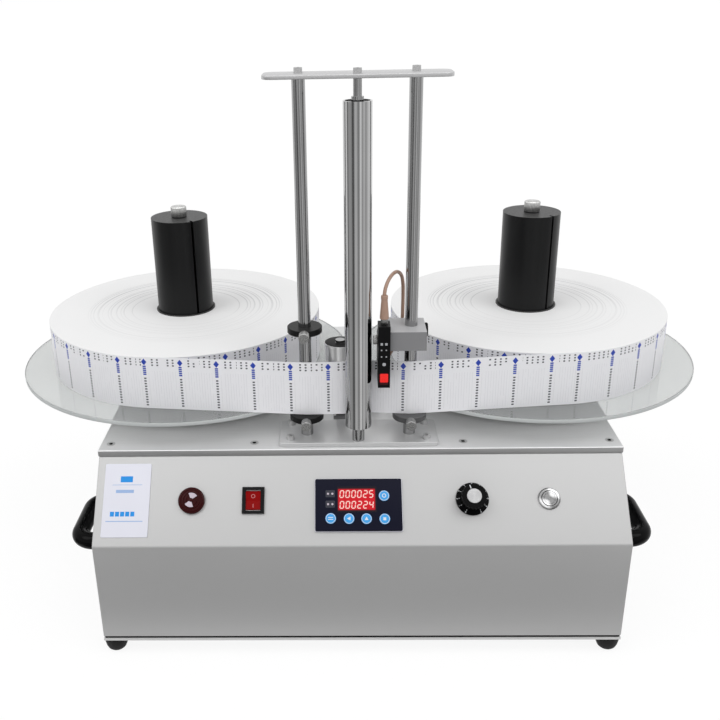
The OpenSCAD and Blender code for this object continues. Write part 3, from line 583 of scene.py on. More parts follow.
class Palette:
    """The finishes of this machine."""

    CABINET = Finish("cabinet_paint", (0.46, 0.46, 0.46), 0.46, 0.33, Grain.SPECKLE, 0.012, 0.05, 0.012,
                     specular=0.3)
    TRAY = Finish("tray_paint", (0.6, 0.6, 0.6), 0.4, 0.2, Grain.SPECKLE, 0.012, 0.05, 0.012)
    # Black painted shade for the cabinet's open rear, seen through the vents.
    INSIDE_SHADE = Finish("cabinet_rear_painted_shade", (0.02, 0.02, 0.022), 0.8)
    TOP = Finish("brushed_top", (0.68, 0.682, 0.685), 0.42, 0.35, Grain.BRUSHED_X, 0.09, 0.1, 0.01,
                 aniso=0.35)
    # Darker and paler copies of the plate's metal: painted shade on its edge, a painted highlight on its
    # chamfer.
    TOP_EDGE_SHADE = Finish("plate_edge_painted_shade", (0.37, 0.37, 0.372), 0.4, 0.5, Grain.BRUSHED_X, 0.05, 0.06, 0.006)
    TOP_CHAMFER_HIGHLIGHT = Finish("plate_chamfer_painted_highlight", (0.84, 0.84, 0.85), 0.3, 0.3, Grain.BRUSHED_X, 0.04, 0.06, 0.004)
    TOWER = Finish("tower_plate_satin", (0.6, 0.602, 0.605), 0.42, 0.45, Grain.BRUSHED_X, 0.06, 0.08, 0.008)
    TIE = Finish("tie_bar_satin", (0.54, 0.54, 0.545), 0.42, 1.0, Grain.BRUSHED_X, 0.04, 0.08, 0.006)
    FOOT = Finish("foot_rubber", (0.008, 0.008, 0.008), 0.6, relief_mm=0.03, specular=0.2)
    SCREW = Finish("screw_steel", (0.5, 0.5, 0.5), 0.42, 0.5, Grain.MOULDED, 0.08, 0.1, 0.004)
    HANDLE = Finish("handle_black", (0.002, 0.002, 0.0022), 0.17, rough_spread=0.05, relief_mm=0.01,
                    specular=0.06)
    ALARM = Finish("alarm_red", (0.032, 0.0012, 0.002), 0.24, specular=0.1)
    # Pale lilac-grey: painted reflection on the alarm's two sectors, print for the counter's dots.
    LILAC_PRINT_AND_SHINE = Finish("lilac_print_and_painted_shine", (0.46, 0.40, 0.46), 0.4, 0.2)
    BLACK = Finish("black_plastic", (0.005, 0.005, 0.0055), 0.42, specular=0.09)
    KNOB = Finish("knob_black", (0.002, 0.002, 0.0022), 0.28, specular=0.06)
    COUNTER = Finish("counter_navy", (0.006, 0.0065, 0.017), 0.4, specular=0.07)
    DIGIT = Finish("digit_light", (1.0, 0.66, 0.6), 0.5, glow=0.95, specular=0.1)
    KEY = Finish("key_blue", (0.055, 0.35, 0.76), 0.35, specular=0.2)
    MARK = Finish("white_mark", (0.72, 0.74, 0.76), 0.5)
    GREY_MARK = Finish("grey_mark", (0.045, 0.046, 0.06), 0.5, specular=0.1)
    POT = Finish("bush_steel", (0.5, 0.5, 0.5), 0.35, 1.0)
    BUTTON = Finish("button_steel", (0.72, 0.72, 0.72), 0.24, 1.0, Grain.MOULDED, 0.05, 0.06, 0.004,
                    aniso=0.5)
    STEEL = Finish("ground_steel", (0.5, 0.5, 0.502), 0.07, 1.0, Grain.DRAWN_Z, 0.14, 0.03, 0.002)
    POST = Finish("post_steel", (0.36, 0.36, 0.362), 0.13, 1.0, Grain.DRAWN_Z, 0.14, 0.04, 0.003)
    DRUM = Finish("drum_steel", (0.78, 0.78, 0.79), 0.2, 0.7, Grain.DRAWN_Z, 0.15, 0.08, 0.004)
    CABLE = Finish("cable_tan", (0.40, 0.255, 0.19), 0.42)
    HOUSING = Finish("housing_aluminium", (0.5, 0.5, 0.505), 0.4, 1.0)
    MOTOR = Finish("motor_paint", (0.05, 0.05, 0.055), 0.45)
    BOARD = Finish("board_green", (0.01, 0.09, 0.03), 0.4)
    SPINDLE = Finish("spindle_steel", (0.5, 0.5, 0.505), 0.3, 1.0)
    MANDREL = Finish("mandrel_black", (0.006, 0.0062, 0.0065), 0.34, 0.0, Grain.DRAWN_Z, 0.12, 0.06, 0.004,
                     specular=0.2)
    KNURL = Finish("knurled_steel", (0.32, 0.32, 0.315), 0.26, 1.0)
    COLLAR = Finish("collar_black", (0.007, 0.007, 0.007), 0.38, specular=0.14)
    COLLAR_GREY = Finish("collar_grey", (0.07, 0.07, 0.072), 0.4)
    # The rocker's faint glow is painted light that brightens its red.
    ROCKER_PAINTED_GLOW = Finish("rocker_red", (0.24, 0.003, 0.003), 0.3, glow=0.13, specular=0.06)
    # Black painted shade for the gap between a mandrel and its roll.
    BORE_SHADE = Finish("core_black", (0.012, 0.012, 0.012), 0.5)
    CARD = Finish("blank_card", (0.72, 0.725, 0.80), 0.4, spread=0.01, specular=0.2)
    CARD_BLUE = Finish("card_blue", (0.02, 0.27, 0.72), 0.45, specular=0.2)
    CARD_PALE = Finish("card_pale_blue", (0.32, 0.45, 0.70), 0.45, specular=0.2)
    ROCKER_MARK = Finish("rocker_mark", (0.62, 0.26, 0.26), 0.5, specular=0.1)
    SAWN = Finish("sawn_acrylic", (0.52, 0.54, 0.54), 0.5, specular=0.3)
    LAMP = Finish("sensor_lamp_red", (0.9, 0.012, 0.008), 0.3, glow=0.7)
    DARK_LAMP = Finish("sensor_lens_dark", (0.05, 0.006, 0.008), 0.3, specular=0.2)
    PALE_MARK = Finish("pale_mark", (0.42, 0.43, 0.45), 0.5)
    # Near-black painted shadow: the tray's shadow line and the plate screws' sockets.
    PAINTED_SHADOW = Finish("seam_painted_shadow", (0.006, 0.006, 0.006), 0.8, specular=0.05)


NODE_FINISHES: dict[Finish, tuple[str, ...]] = {
    Palette.CABINET: ("rear_panel", "cabinet_shell"),
    Palette.TRAY: ("base_tray",),
    Palette.FOOT: ("rubber_feet",),
    Palette.SCREW: ("machine_screws", "sensor_bolt"),
    Palette.HANDLE: ("left_handle", "right_handle"),
    Palette.BLACK: ("switch_housing", "cable_gland", "mains_inlet", "sensor_body", "sensor_clamp_knob"),
    Palette.POT: ("speed_pot",),
    Palette.BUTTON: ("button_housing", "start_button"),
    Palette.TOWER: ("tower_plate",),
    Palette.POST: ("left_post", "right_post", "guide_shafts"),
    Palette.TIE: ("tie_bar",),
    Palette.HOUSING: ("bearing_housings", "power_supply", "motor_coupling"),
    Palette.MOTOR: ("drive_motor", "tension_brake"),
    Palette.BOARD: ("control_board",),
    Palette.SPINDLE: ("right_spindle", "left_spindle"),
    Palette.MANDREL: ("right_mandrel", "left_mandrel"),
    Palette.STEEL: ("roller_tube",),
    Palette.DRUM: ("measuring_drum",),
    Palette.COLLAR: ("left_upper_collar", "left_lower_collar"),
    Palette.COLLAR_GREY: ("right_lower_collar",),
    Palette.ROCKER_PAINTED_GLOW: ("switch_rocker",),
    Palette.KEY: ("mode_key", "shift_key", "up_key", "set_key", "reset_key"),
    Palette.COUNTER: ("counter_case",),
    Palette.TOP: ("top_plate",),
    Palette.ALARM: ("alarm_buzzer",),
    Palette.KNOB: ("speed_knob",),
    Palette.CABLE: ("sensor_boot", "sensor_cable"),
    Palette.KNURL: ("left_upper_screw", "left_lower_screw", "right_lower_screw", "left_mandrel_knob",
                    "right_mandrel_knob"),
}


class PrintedPaper:
    """White label paper with a generic print that follows the piece's UV."""

    NAME = "printed_label_paper"

    @classmethod
    @cache
    def build(cls) -> bpy.types.Material:
        """Builds the material once.

        Returns:
            The paper material.
        """
        material, n, shader = new_material(cls.NAME)
        uv = n.add("ShaderNodeUVMap", uv_map="UVMap").outputs[0]
        ink = n.add("ShaderNodeGroup", uv, node_tree=LabelPrintGroup.get()).outputs
        grain = n.grain(700.0, 14.0).outputs
        paper = n.mix(grain["Value"], (0.84, 0.84, 0.87), (0.89, 0.89, 0.915))
        for tone, colour in (("Grey", (0.34, 0.345, 0.38)), ("Dark", (0.03, 0.03, 0.045)),
                             ("Blue", (0.012, 0.05, 0.42))):
            paper = n.mix(ink[tone], paper, colour)
        n.fill(shader, {"Base Color": paper, "Roughness": n.span(grain["Fine"], 0.2, 0.8, 0.4, 0.6),
                        "Normal": n.relief(grain["Height"], 0.2, 0.00002)})
        return material


class WoundEdge:
    """Edge of wound paper: fine rings about a reel's axis, by distance from it."""

    @staticmethod
    def build(name: str, centre: Sequence[float]) -> bpy.types.Material:
        """Builds the material for one reel.

        Args:
            name: Material name.
            centre: The reel axis, x and y in metres.

        Returns:
            The paper edge material.
        """
        material, n, shader = new_material(name)
        mapped = n.add("ShaderNodeMapping", n.add("ShaderNodeTexCoord").outputs["Object"])
        n.fill(mapped, {"Location": (-centre[0], -centre[1], 0.0), "Scale": (1.0, 1.0, 0.0)})
        radius = n.vector("LENGTH", mapped.outputs[0])
        layers = n.noise(W=radius, Scale=1600.0, Detail=2.0)
        bands = n.noise(W=radius, Scale=300.0, Detail=4.0)
        grain = n.grain(300.0, 8.0)
        ring = n.math("MULTIPLY", n.between(radius, 0.07, 0.128), n.math("GREATER_THAN", bands, 0.57))
        # The rings show more toward the back, where the winding is looser.
        split = n.add("ShaderNodeSeparateXYZ", mapped.outputs[0])
        loose = n.span(split.outputs["Y"], -0.03, 0.05, 0.12, 0.54)
        white = n.mix(grain.outputs["Value"], (0.83, 0.83, 0.83), (0.88, 0.88, 0.88))
        white = n.mix(n.math("MULTIPLY", layers, 0.2), white, (0.7, 0.7, 0.71))
        n.fill(shader, {"Base Color": n.mix(n.math("MULTIPLY", ring, loose), white, (0.42, 0.42, 0.43)),
                        "Roughness": n.span(layers, 0.2, 0.8, 0.55, 0.8),
                        "Normal": n.relief(n.math("ADD", layers, bands), 0.3, 0.00008)})
        return material


class ClearAcrylic:
    """Clear, slightly milky reel disc with faint handling marks."""

    NAME = "clear_acrylic"

    @classmethod
    @cache
    def build(cls) -> bpy.types.Material:
        """Builds the material once.

        Returns:
            The clear material.
        """
        material, n, shader = new_material(cls.NAME)
        grain = n.grain(60.0, 7.0).outputs
        shadow = n.add("ShaderNodeLightPath").outputs["Is Shadow Ray"]
        n.fill(shader, {"Base Color": n.mix(grain["Value"], (0.62, 0.635, 0.63), (0.68, 0.695, 0.69)),
                        "Roughness": n.span(grain["Fine"], 0.3, 0.7, 0.02, 0.08),
                        "Transmission Weight": 0.82, "IOR": 1.49,
                        "Alpha": n.math("MULTIPLY_ADD", shadow, -0.88, 1.0)})
        return material


def finish_mesh(name: str, part: Surface, sharp_deg: float) -> bpy.types.Mesh:
    """Turns a surface in cabinet mm into a welded, outward-facing mesh in metres.

    Args:
        name: Mesh name.
        part: The surface.
        sharp_deg: Edges bent more than this stay sharp.

    Returns:
        The mesh.
    """
    mesh = bpy.data.meshes.new(name)
    mesh.from_pydata(row(part.points).tolist(), [], part.faces)
    if part.uv is not None:
        layer = mesh.uv_layers.new(name="UVMap")
        index = np.zeros(len(mesh.loops), np.int32)
        mesh.loops.foreach_get("vertex_index", index)
        layer.data.foreach_set("uv", (part.uv[index] / 1000.0).astype(np.float32).ravel())
    work = bmesh.new()
    work.from_mesh(mesh)
    bmesh.ops.remove_doubles(work, verts=work.verts[:], dist=1e-6)
    bmesh.ops.dissolve_degenerate(work, edges=work.edges[:], dist=1e-7)
    bmesh.ops.recalc_face_normals(work, faces=work.faces[:])
    work.to_mesh(mesh)
    work.free()
    mesh.shade_smooth()
    mesh.set_sharp_from_angle(angle=math.radians(sharp_deg))
    mesh.update()
    return mesh


def make_piece(name: str, part: Surface, body: str | None, material: bpy.types.Material | Finish,
               stands_for: Sequence[str] = (), sharp_deg: float = 32.0) -> bpy.types.Object:
    """Makes a piece, gives it its finish and lets it ride on a body.

    Args:
        name: Piece name.
        part: Surface in cabinet mm.
        body: CAD body it moves with, or None to leave it unattached.
        material: Finish or ready material.
        stands_for: CAD nodes that it replaces.
        sharp_deg: Edges bent more than this stay sharp.

    Returns:
        The object.
    """
    piece = bpy.data.objects.new(name, finish_mesh(name, part, sharp_deg))
    bpy.context.scene.collection.objects.link(piece)
    piece.data.materials.append(material.build() if isinstance(material, Finish) else material)
    if body:
        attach(piece, body)
    if stands_for:
        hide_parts(*stands_for)
    LOG.info("piece %s rides on %s", name, body or "two bodies")
    return piece


def dress_node(node: str, material: bpy.types.Material) -> None:
    """Gives a CAD node one material.

    Args:
        node: Name of the node.
        material: Its material.
    """
    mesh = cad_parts[node].data
    mesh.materials.clear()
    mesh.materials.append(material)
    LOG.info("node %s takes %s", node, material.name)


def sector(inner: float, outer: float, middle_deg: float, half_deg: float, z: Sequence[float]) -> Surface:
    """Flat sector of a ring, with a thickness.

    Args:
        inner: Inner radius.
        outer: Outer radius.
        middle_deg: Direction of its middle.
        half_deg: Half of its opening.
        z: Bottom and top.

    Returns:
        The closed surface.
    """
    t = np.radians(np.linspace(middle_deg - half_deg, middle_deg + half_deg, 18))
    loop = np.concatenate([outer * np.column_stack([np.cos(t), np.sin(t)]),
                           inner * np.column_stack([np.cos(t), np.sin(t)])[::-1]])
    return prism(loop, z)


def prism(loop: Array | Sequence, z: Sequence[float]) -> Surface:
    """Closed flat outline with a thickness.

    Args:
        loop: Rows of x and y.
        z: Bottom and top.

    Returns:
        The closed surface.
    """
    outline = np.asarray(loop, float)
    return loft(np.array([np.column_stack([outline, np.full(len(outline), h)]) for h in z]))


def washer(inner: float, outer: float, z: Sequence[float], steps: int) -> Surface:
    """Flat ring: a rectangle turned round Z.

    Args:
        inner: Inner radius.
        outer: Outer radius.
        z: Bottom and top.
        steps: Points round the turn.

    Returns:
        The closed surface.
    """
    low, high = z
    return revolve([[inner, low], [outer, low], [outer, high], [inner, high], [inner, low]], steps)


def bar(x: Sequence[float], y: Sequence[float], z: Sequence[float]) -> Surface:
    """Plain block, such as a printed bar.

    Args:
        x: Left and right.
        y: Lower and upper.
        z: Bottom and top.

    Returns:
        The closed surface.
    """
    return prism([[x[0], y[0]], [x[1], y[0]], [x[1], y[1]], [x[0], y[1]]], z)


SEGMENTS: dict[str, str] = {"0": "abcdef", "1": "bc", "2": "abged", "3": "abgcd", "4": "fgbc", "5": "afgcd",
                            "6": "afgedc", "7": "abc", "8": "abcdefg", "9": "abcdfg"}


def numeral(text: str, width: float, height: float, stroke: float, z: Sequence[float],
            lean: float = 0.0) -> Surface:
    """One seven-segment figure about the origin.

    Args:
        text: A single figure.
        width: Width between stroke middles.
        height: Height between the outer stroke middles.
        stroke: Stroke width.
        z: Bottom and top.
        lean: Sideways shift for each unit of height.

    Returns:
        The closed strokes.
    """
    w, h, q = width / 2, height / 2, stroke / 2
    ends = {"a": ((-w, h), (w, h)), "g": ((-w, 0), (w, 0)), "d": ((-w, -h), (w, -h)),
            "f": ((-w, 0), (-w, h)), "b": ((w, 0), (w, h)), "e": ((-w, -h), (-w, 0)),
            "c": ((w, -h), (w, 0))}
    strokes = []
    for key in SEGMENTS[text]:
        a, b = (np.array(p, float) for p in ends[key])
        along = (b - a) / np.linalg.norm(b - a)
        across = np.array([-along[1], along[0]]) * q
        a, b = a + along * q * 0.25, b - along * q * 0.25
        loop = np.array([a, a + along * q - across, b - along * q - across, b, b - along * q + across,
                         a + along * q + across])
        loop[:, 0] += lean * loop[:, 1]
        strokes.append(prism(loop, z))
    return Surface.join(strokes)


class TurnedFace:
    """Metal turned on a lathe: its highlight is stretched round an axis, and an optional painted bow-tie
    reflection darkens it away from one direction.
    """

    @staticmethod
    def build(name: str, centre_mm: Sequence[float], axis: Sequence[float], colour: Colour,
              bowtie_shade: float = 0.0, bowtie_deg: float = 45.0) -> bpy.types.Material:
        """Builds the material for one turned part.

        Args:
            name: Material name.
            centre_mm: A point on the axis, in cabinet mm.
            axis: The axis direction, in the plane x = 0.
            colour: Metal colour.
            bowtie_shade: How much darker the painted bow-tie reflection is away from its bright ray.
            bowtie_deg: Direction of the ray, from X toward the axis's upper side.

        Returns:
            The metal material.
        """
        material, n, shader = new_material(name)
        coords = n.add("ShaderNodeTexCoord").outputs["Object"]
        arm = n.vector("SUBTRACT", coords, tuple(row(centre_mm)))
        swirl = n.vector("CROSS_PRODUCT", tuple(axis), arm)
        rings = n.noise(W=n.vector("LENGTH", swirl), Scale=2600.0)
        metal = n.mix(rings, colour, tuple(0.86 * c for c in colour))
        # Painted reflection: the metal is darkened away from one bright ray, like a bow-tie highlight.
        if bowtie_shade:
            turn = math.radians(bowtie_deg)
            side = np.cross(axis, (1.0, 0.0, 0.0))
            ray = math.cos(turn) * np.array([1.0, 0.0, 0.0]) + math.sin(turn) * side
            along = n.vector("DOT_PRODUCT", n.vector("NORMALIZE", arm), tuple(ray))
            share = n.span(n.math("MULTIPLY", along, along), 0.2, 0.8, bowtie_shade, 0.0,
                           interpolation_type="SMOOTHSTEP")
            metal = n.mix(share, metal, (0.02, 0.02, 0.02))
        n.fill(shader, {"Base Color": metal, "Roughness": n.span(rings, 0.2, 0.8, 0.2, 0.34),
                        "Tangent": n.vector("NORMALIZE", swirl), "Metallic": 1.0, "Anisotropic": 0.85})
        return material


class BlockWithPaintedTop:
    """Sensor block with a paler top than its sides, told apart by height: the paler top is painted light.
    """

    NAME = "block_painted_top_light"

    @classmethod
    def build(cls, top: float) -> bpy.types.Material:
        """Builds the material.

        Args:
            top: Height of the top face at rest, in metres.

        Returns:
            The block material.
        """
        material, n, shader = new_material(cls.NAME)
        place = n.add("ShaderNodeSeparateXYZ", n.add("ShaderNodeTexCoord").outputs["Object"])
        painted_top_mask = n.math("GREATER_THAN", place.outputs["Z"], top - 0.0002)
        grain = n.grain(900.0, 9.0).outputs
        side_tone = n.mix(grain["Value"], (0.222, 0.222, 0.23), (0.252, 0.252, 0.26))
        bright = n.mix(grain["Value"], (0.42, 0.42, 0.43), (0.47, 0.47, 0.48))
        # The top takes a paler colour than the sides as painted light from above.
        n.fill(shader, {"Base Color": n.mix(painted_top_mask, side_tone, bright), "Metallic": 0.1,
                        "Roughness": n.span(grain["Fine"], 0.25, 0.75, 0.42, 0.56),
                        "Normal": n.relief(grain["Height"], 0.35, 0.00001)})
        return material


class DisplayGlass:
    """Dark glass that glows red behind the two rows of figures, by place on the sloped panel."""

    NAME = "display_glass"
    FADE_MM = 0.9

    @classmethod
    def build(cls, centre_mm: Sequence[float], half_mm: Sequence[float]) -> bpy.types.Material:
        """Builds the material.

        Args:
            centre_mm: Middle of the glow, in cabinet mm.
            half_mm: Half of its width and half of its height, in mm.

        Returns:
            The glass material.
        """
        material, n, shader = new_material(cls.NAME)
        coords = n.add("ShaderNodeTexCoord").outputs["Object"]
        arm = n.vector("SUBTRACT", coords, tuple(row(centre_mm)))
        shares = []
        for way, half in zip(((1.0, 0.0, 0.0), tuple(PANEL_TURN[:, 1])), half_mm):
            along = n.math("ABSOLUTE", n.vector("DOT_PRODUCT", arm, way))
            shares.append(n.span(along, (half + cls.FADE_MM) / 1000, (half - cls.FADE_MM) / 1000, 0.0, 1.0,
                                 interpolation_type="SMOOTHSTEP"))
        red = n.mix(n.grain(300.0, 90.0).outputs["Value"], (0.44, 0.0, 0.004), (0.8, 0.001, 0.008))
        glow = n.mix(n.math("MULTIPLY", *shares), (0.004, 0.0, 0.001), red)
        n.fill(shader, {"Base Color": (0.006, 0.005, 0.009, 1.0), "Roughness": 0.3,
                        "Specular IOR Level": 0.12, "Emission Color": glow, "Emission Strength": 1.0})
        return material


@dataclass(frozen=True)
class CabinetBody:
    """Sheet-metal cabinet, its top plate, tower plate, feet and blank plate."""

    half_width: float = 300.0
    rear: float = 468.2
    lower_gap: float = 2.5
    fold_radius: float = 1.6
    seam: Block = ((-298.6, 298.6), (1.3, 466.0), (-0.5, 6.0))
    top_plate: Block = ((-301.0, 301.0), (69.5, 471.0), (SHOULDER_H_MM, 210.85))
    tower_plate: Block = ((-92.0, 92.0), (74.5, 134.5), (211.0, 216.0))
    tie_bar: Block = ((-95.0, 95.0), (70.0, 115.0), (617.0, 621.0))
    screw_xs: tuple[float, ...] = (-289.0, -121.0, 121.0, 289.0)
    screw_ys: Pair = (86.5, 454.0)
    socket_r: float = 2.4
    socket_z: Pair = (210.9, 211.04)
    foot_xs: Pair = (-290.0, 290.0)
    foot_ys: Pair = (17.0, 453.0)
    foot: Profile = ((0, -25), (6.5, -25), (8.8, -24.2), (10.8, -22.2), (12.4, -18.5), (13.5, -13),
                     (14, -7), (14, -3), (0, -3))
    card_at: Pair = (-264.5, 52.7)
    card: Block = ((-26.5, 26.5), (-42.2, 42.2), (0.05, 0.8))

    def shell(self) -> Surface:
        """The side profile carried across the width, with eased side edges.

        Returns:
            The closed surface.
        """
        corners = [[0, self.lower_gap], [0, FRONT_H_MM], [SLOPE_RUN_MM, SHOULDER_H_MM],
                   [self.rear, SHOULDER_H_MM], [self.rear, self.lower_gap]]
        outline = rounded_polygon(corners, self.fold_radius)
        middle = outline.mean(0)
        half = np.ptp(outline, axis=0) / 2
        xs, insets = eased_heights(-self.half_width, self.half_width, 1.0)
        return loft(np.array([
            np.column_stack([np.full(len(outline), x), middle + (outline - middle) * (1 - i / half)])
            for x, i in zip(xs, insets)]))

    def build(self) -> None:
        """Makes the pieces."""
        self._skin()
        self._plates()
        self._feet()
        self._card()

    def _skin(self) -> None:
        """Painted sheet; its open rear face is black as painted shade behind the vents, and a black strip
        above the tray is the painted shadow line.
        """
        shell = make_piece("cabinet_skin", self.shell(), ROOT, Palette.CABINET,
                           ["cabinet_shell"])
        shell.data.materials.append(Palette.INSIDE_SHADE.build())
        # Rear faces are black: painted shade behind the vents.
        limit = row([0, self.rear - 0.5, 0])[1]
        for face in shell.data.polygons:
            face.material_index = int(face.center.y > limit)
        # Black strip set back in the gap above the tray: a painted shadow line.
        make_piece("tray_painted_shadow_line", plate(*self.seam, 0.6, 0.1), ROOT, Palette.PAINTED_SHADOW)

    def _plates(self) -> None:
        """Top plate with painted shade on its front edge and a painted highlight on its chamfer, painted
        shade in its screws' sockets, tower plate, tie bar.
        """
        top = make_piece("top_plate_eased", plate(*self.top_plate, 1.5, 0.9), ROOT, Palette.TOP,
                         ["top_plate"])
        for finish in (Palette.TOP_EDGE_SHADE, Palette.TOP_CHAMFER_HIGHLIGHT):
            top.data.materials.append(finish.build())
        # Faces are coloured by which way they face: the front edge a darker copy as painted shade, the
        # chamfer a paler one as a painted highlight.
        for face in top.data.polygons:
            face.material_index = 0 if face.normal.z > 0.98 else 2 if face.normal.z > 0.2 else 1
        # Flat black hexagons on the plate are painted shade in the screws' sockets.
        corners = np.radians(np.arange(0, 360, 60))
        socket = prism(self.socket_r * np.column_stack([np.cos(corners), np.sin(corners)]), self.socket_z)
        socket_shades = [socket.moved([x, y, 0]) for x in self.screw_xs for y in self.screw_ys]
        make_piece("plate_socket_painted_shade", Surface.join(socket_shades), ROOT, Palette.PAINTED_SHADOW)
        make_piece("tower_plate_eased", plate(*self.tower_plate, 6, 0.6), ROOT, Palette.TOWER,
                   ["tower_plate"])
        make_piece("tie_bar_eased", plate(*self.tie_bar, 12, 0.6), ROOT, Palette.TIE,
                   ["tie_bar"])

    def _feet(self) -> None:
        """Four tapered rubber feet."""
        foot = revolve(self.foot, 48)
        feet = [foot.moved([x, y, 0]) for x in self.foot_xs for y in self.foot_ys]
        make_piece("feet_rounded", Surface.join(feet), ROOT, Palette.FOOT, ["rubber_feet"])

    def _card(self) -> None:
        """Blank plate on the panel, with plain bars and lines."""
        card = on_panel(plate(*self.card, 2.0, 0.3), *self.card_at)
        make_piece("blank_plate", card, ROOT, Palette.CARD)
        bold = [bar((-8, 6), (20.5, 27.5), (0.7, 0.86))]
        bold += [bar((x, x + 4.6), (-18.6, -13.2), (0.7, 0.86)) for x in (-17.5, -11.7, -5.9, -0.1, 5.7)]
        pale = [bar(x, s, (0.7, 0.84)) for x, s in (((-17, 17), (17.2, 17.8)), ((-12.5, 8), (8.2, 11.8)),
                                                    ((-22, 20), (-24.6, -23.6)))]
        for name, bars, finish in (("plate_bars", bold, Palette.CARD_BLUE),
                                   ("plate_lines", pale, Palette.CARD_PALE)):
            make_piece(name, on_panel(Surface.join(bars), *self.card_at), ROOT, finish)


@dataclass(frozen=True)
class PanelControls:
    """Alarm, rocker marks, counter, knob and push button on the sloped panel."""

    s: float = 51.5
    alarm_x: float = -190.0
    rocker_x: float = -120.0
    knob_x: float = 126.6
    button_x: float = 212.5
    counter_x: float = -1.2
    counter_s: float = 45.5
    counter: Block = ((-48.6, 48.6), (-29.4, 29.4), (0.0, 3.95))
    counter_rim: Block = ((-49.3, 49.3), (-30.1, 30.1), (0.0, 1.1))
    figure_rows: tuple[tuple[str, float], ...] = (("000025", 11.9), ("000224", -0.3))
    figure_x: float = -18.6
    figure_step: float = 6.6
    figure_z: Pair = (4.02, 4.14)
    key_z: Pair = (4.75, 4.9)
    rocker_deg: float = 16.0
    alarm: Profile = ((0, 0), (15, 0), (15, 3.4), (14.5, 4.2), (13.4, 4.6), (13.1, 5.6), (12.2, 5.7),
                      (11.8, 5.0), (10.4, 5.0), (10.1, 5.9), (8.9, 6.0), (8.5, 5.3), (7.1, 5.3), (6.8, 6.1),
                      (5.5, 6.2), (5.1, 5.5), (2.7, 5.5), (2.4, 6.3), (1.8, 6.5), (0, 6.5))
    key: Profile = ((0, 0.6), (6, 0.6), (6, 4.2), (5.75, 4.6), (5.2, 4.8), (0, 4.8))
    skirt: Profile = ((0, 0.6), (18.3, 0.6), (18.5, 0.9), (18.5, 2.0), (18.2, 2.35), (14.4, 6.0), (0, 6.0))
    knob_cap: Profile = ((0, 18), (8.25, 18), (8.25, 19.5), (8.0, 19.8), (0, 19.8))
    bezel: Profile = ((8.75, 0), (12.25, 0), (12.25, 1.5), (11.3, 2.6), (10.8, 2.8), (9.1, 2.8),
                      (8.75, 2.4), (8.75, 0))
    button: Profile = ((0, -4), (8.5, -4), (8.5, 2.7), (8.2, 3.0), (6.6, 3.0), (6.4, 2.8), (6.0, 2.8),
                       (5.8, 3.0), (0, 3.0))

    def build(self) -> None:
        """Makes the pieces."""
        self._alarm()
        self._rocker_marks()
        self._counter()
        self._display()
        self._keys()
        self._knob()
        self._button()

    def _alarm(self) -> None:
        """Dark red alarm with rings, and two pale sectors that are a painted bow-tie reflection."""
        rings = revolve(self.alarm, 72)
        make_piece("alarm_rings", on_panel(rings, self.alarm_x, self.s), ROOT, Palette.ALARM,
                   ["alarm_buzzer"])
        # Two flat pale sectors stand in for the alarm's bow-tie reflection: painted reflection.
        shine = Surface.join([sector(1.5, 8.2, a, 38, (5.6, 6.35)) for a in (72, 252)])
        make_piece("alarm_painted_reflection", on_panel(shine, self.alarm_x, self.s), ROOT, Palette.LILAC_PRINT_AND_SHINE)

    def _rocker_marks(self) -> None:
        """On and off marks, lying on the two faces of the rocker at rest."""
        tilt = math.radians(self.rocker_deg)
        lean = np.array([[1, 0, 0], [0, math.cos(tilt), -math.sin(tilt)],
                         [0, math.sin(tilt), math.cos(tilt)]])
        ring = washer(1.7, 2.25, (0.02, 0.16), 40)
        ring = ring.placed(lean, [0, -0.765 + 5.4 * math.cos(tilt), 1.446 + 5.4 * math.sin(tilt)])
        line = bar((-0.32, 0.32), (-8.4, -4.2), (1.46, 1.6))
        make_piece("rocker_marks", on_panel(Surface.join([ring, line]), self.rocker_x, self.s), "rocker",
                   Palette.ROCKER_MARK)

    def _counter(self) -> None:
        """Counter front with a pale rim and two small boxes beside the figures."""
        x, s, z = self.counter_x, self.counter_s, self.counter[2][1]
        front = plate(*self.counter, 1.8, 0.5)
        make_piece("counter_front", on_panel(front, x, s), ROOT, Palette.COUNTER,
                   ["counter_case"])
        rim = plate(*self.counter_rim, 2.2, 0.3)
        make_piece("counter_rim", on_panel(rim, x, s), ROOT, Palette.CARD)
        boxes = [plate((-37, -26.4), (y - 4, y + 4), (z - 0.1, z + 0.06), 1.2, 0.05) for y in (12.4, 0.6)]
        make_piece("counter_boxes", on_panel(Surface.join(boxes), x, s), ROOT, Palette.GREY_MARK)
        dots = [revolve([[0, z], [1.2, z], [1.2, z + 0.14], [0, z + 0.14]], 24).moved([a, b, 0])
                for a in (-34.2, -29.3) for b in (12.4, 0.6)]
        make_piece("counter_dots", on_panel(Surface.join(dots), x, s), ROOT, Palette.LILAC_PRINT_AND_SHINE)

    def _display(self) -> None:
        """Glass with a red glow and two rows of six figures."""
        spot = Surface(np.array([[-2.1, 5.8, 3.0]]), [])
        centre = on_panel(spot, self.counter_x, self.counter_s).points[0]
        dress_node("counter_window", DisplayGlass.build(centre, (20.6, 11.8)))
        figures = []
        for text, y in self.figure_rows:
            for i, figure in enumerate(text):
                shape = numeral(figure, 3.9, 7.6, 1.15, self.figure_z, 0.1)
                figures.append(shape.moved([self.figure_x + self.figure_step * i, y, 0]))
        make_piece("display_figures", on_panel(Surface.join(figures), self.counter_x, self.counter_s), ROOT,
                   Palette.DIGIT)

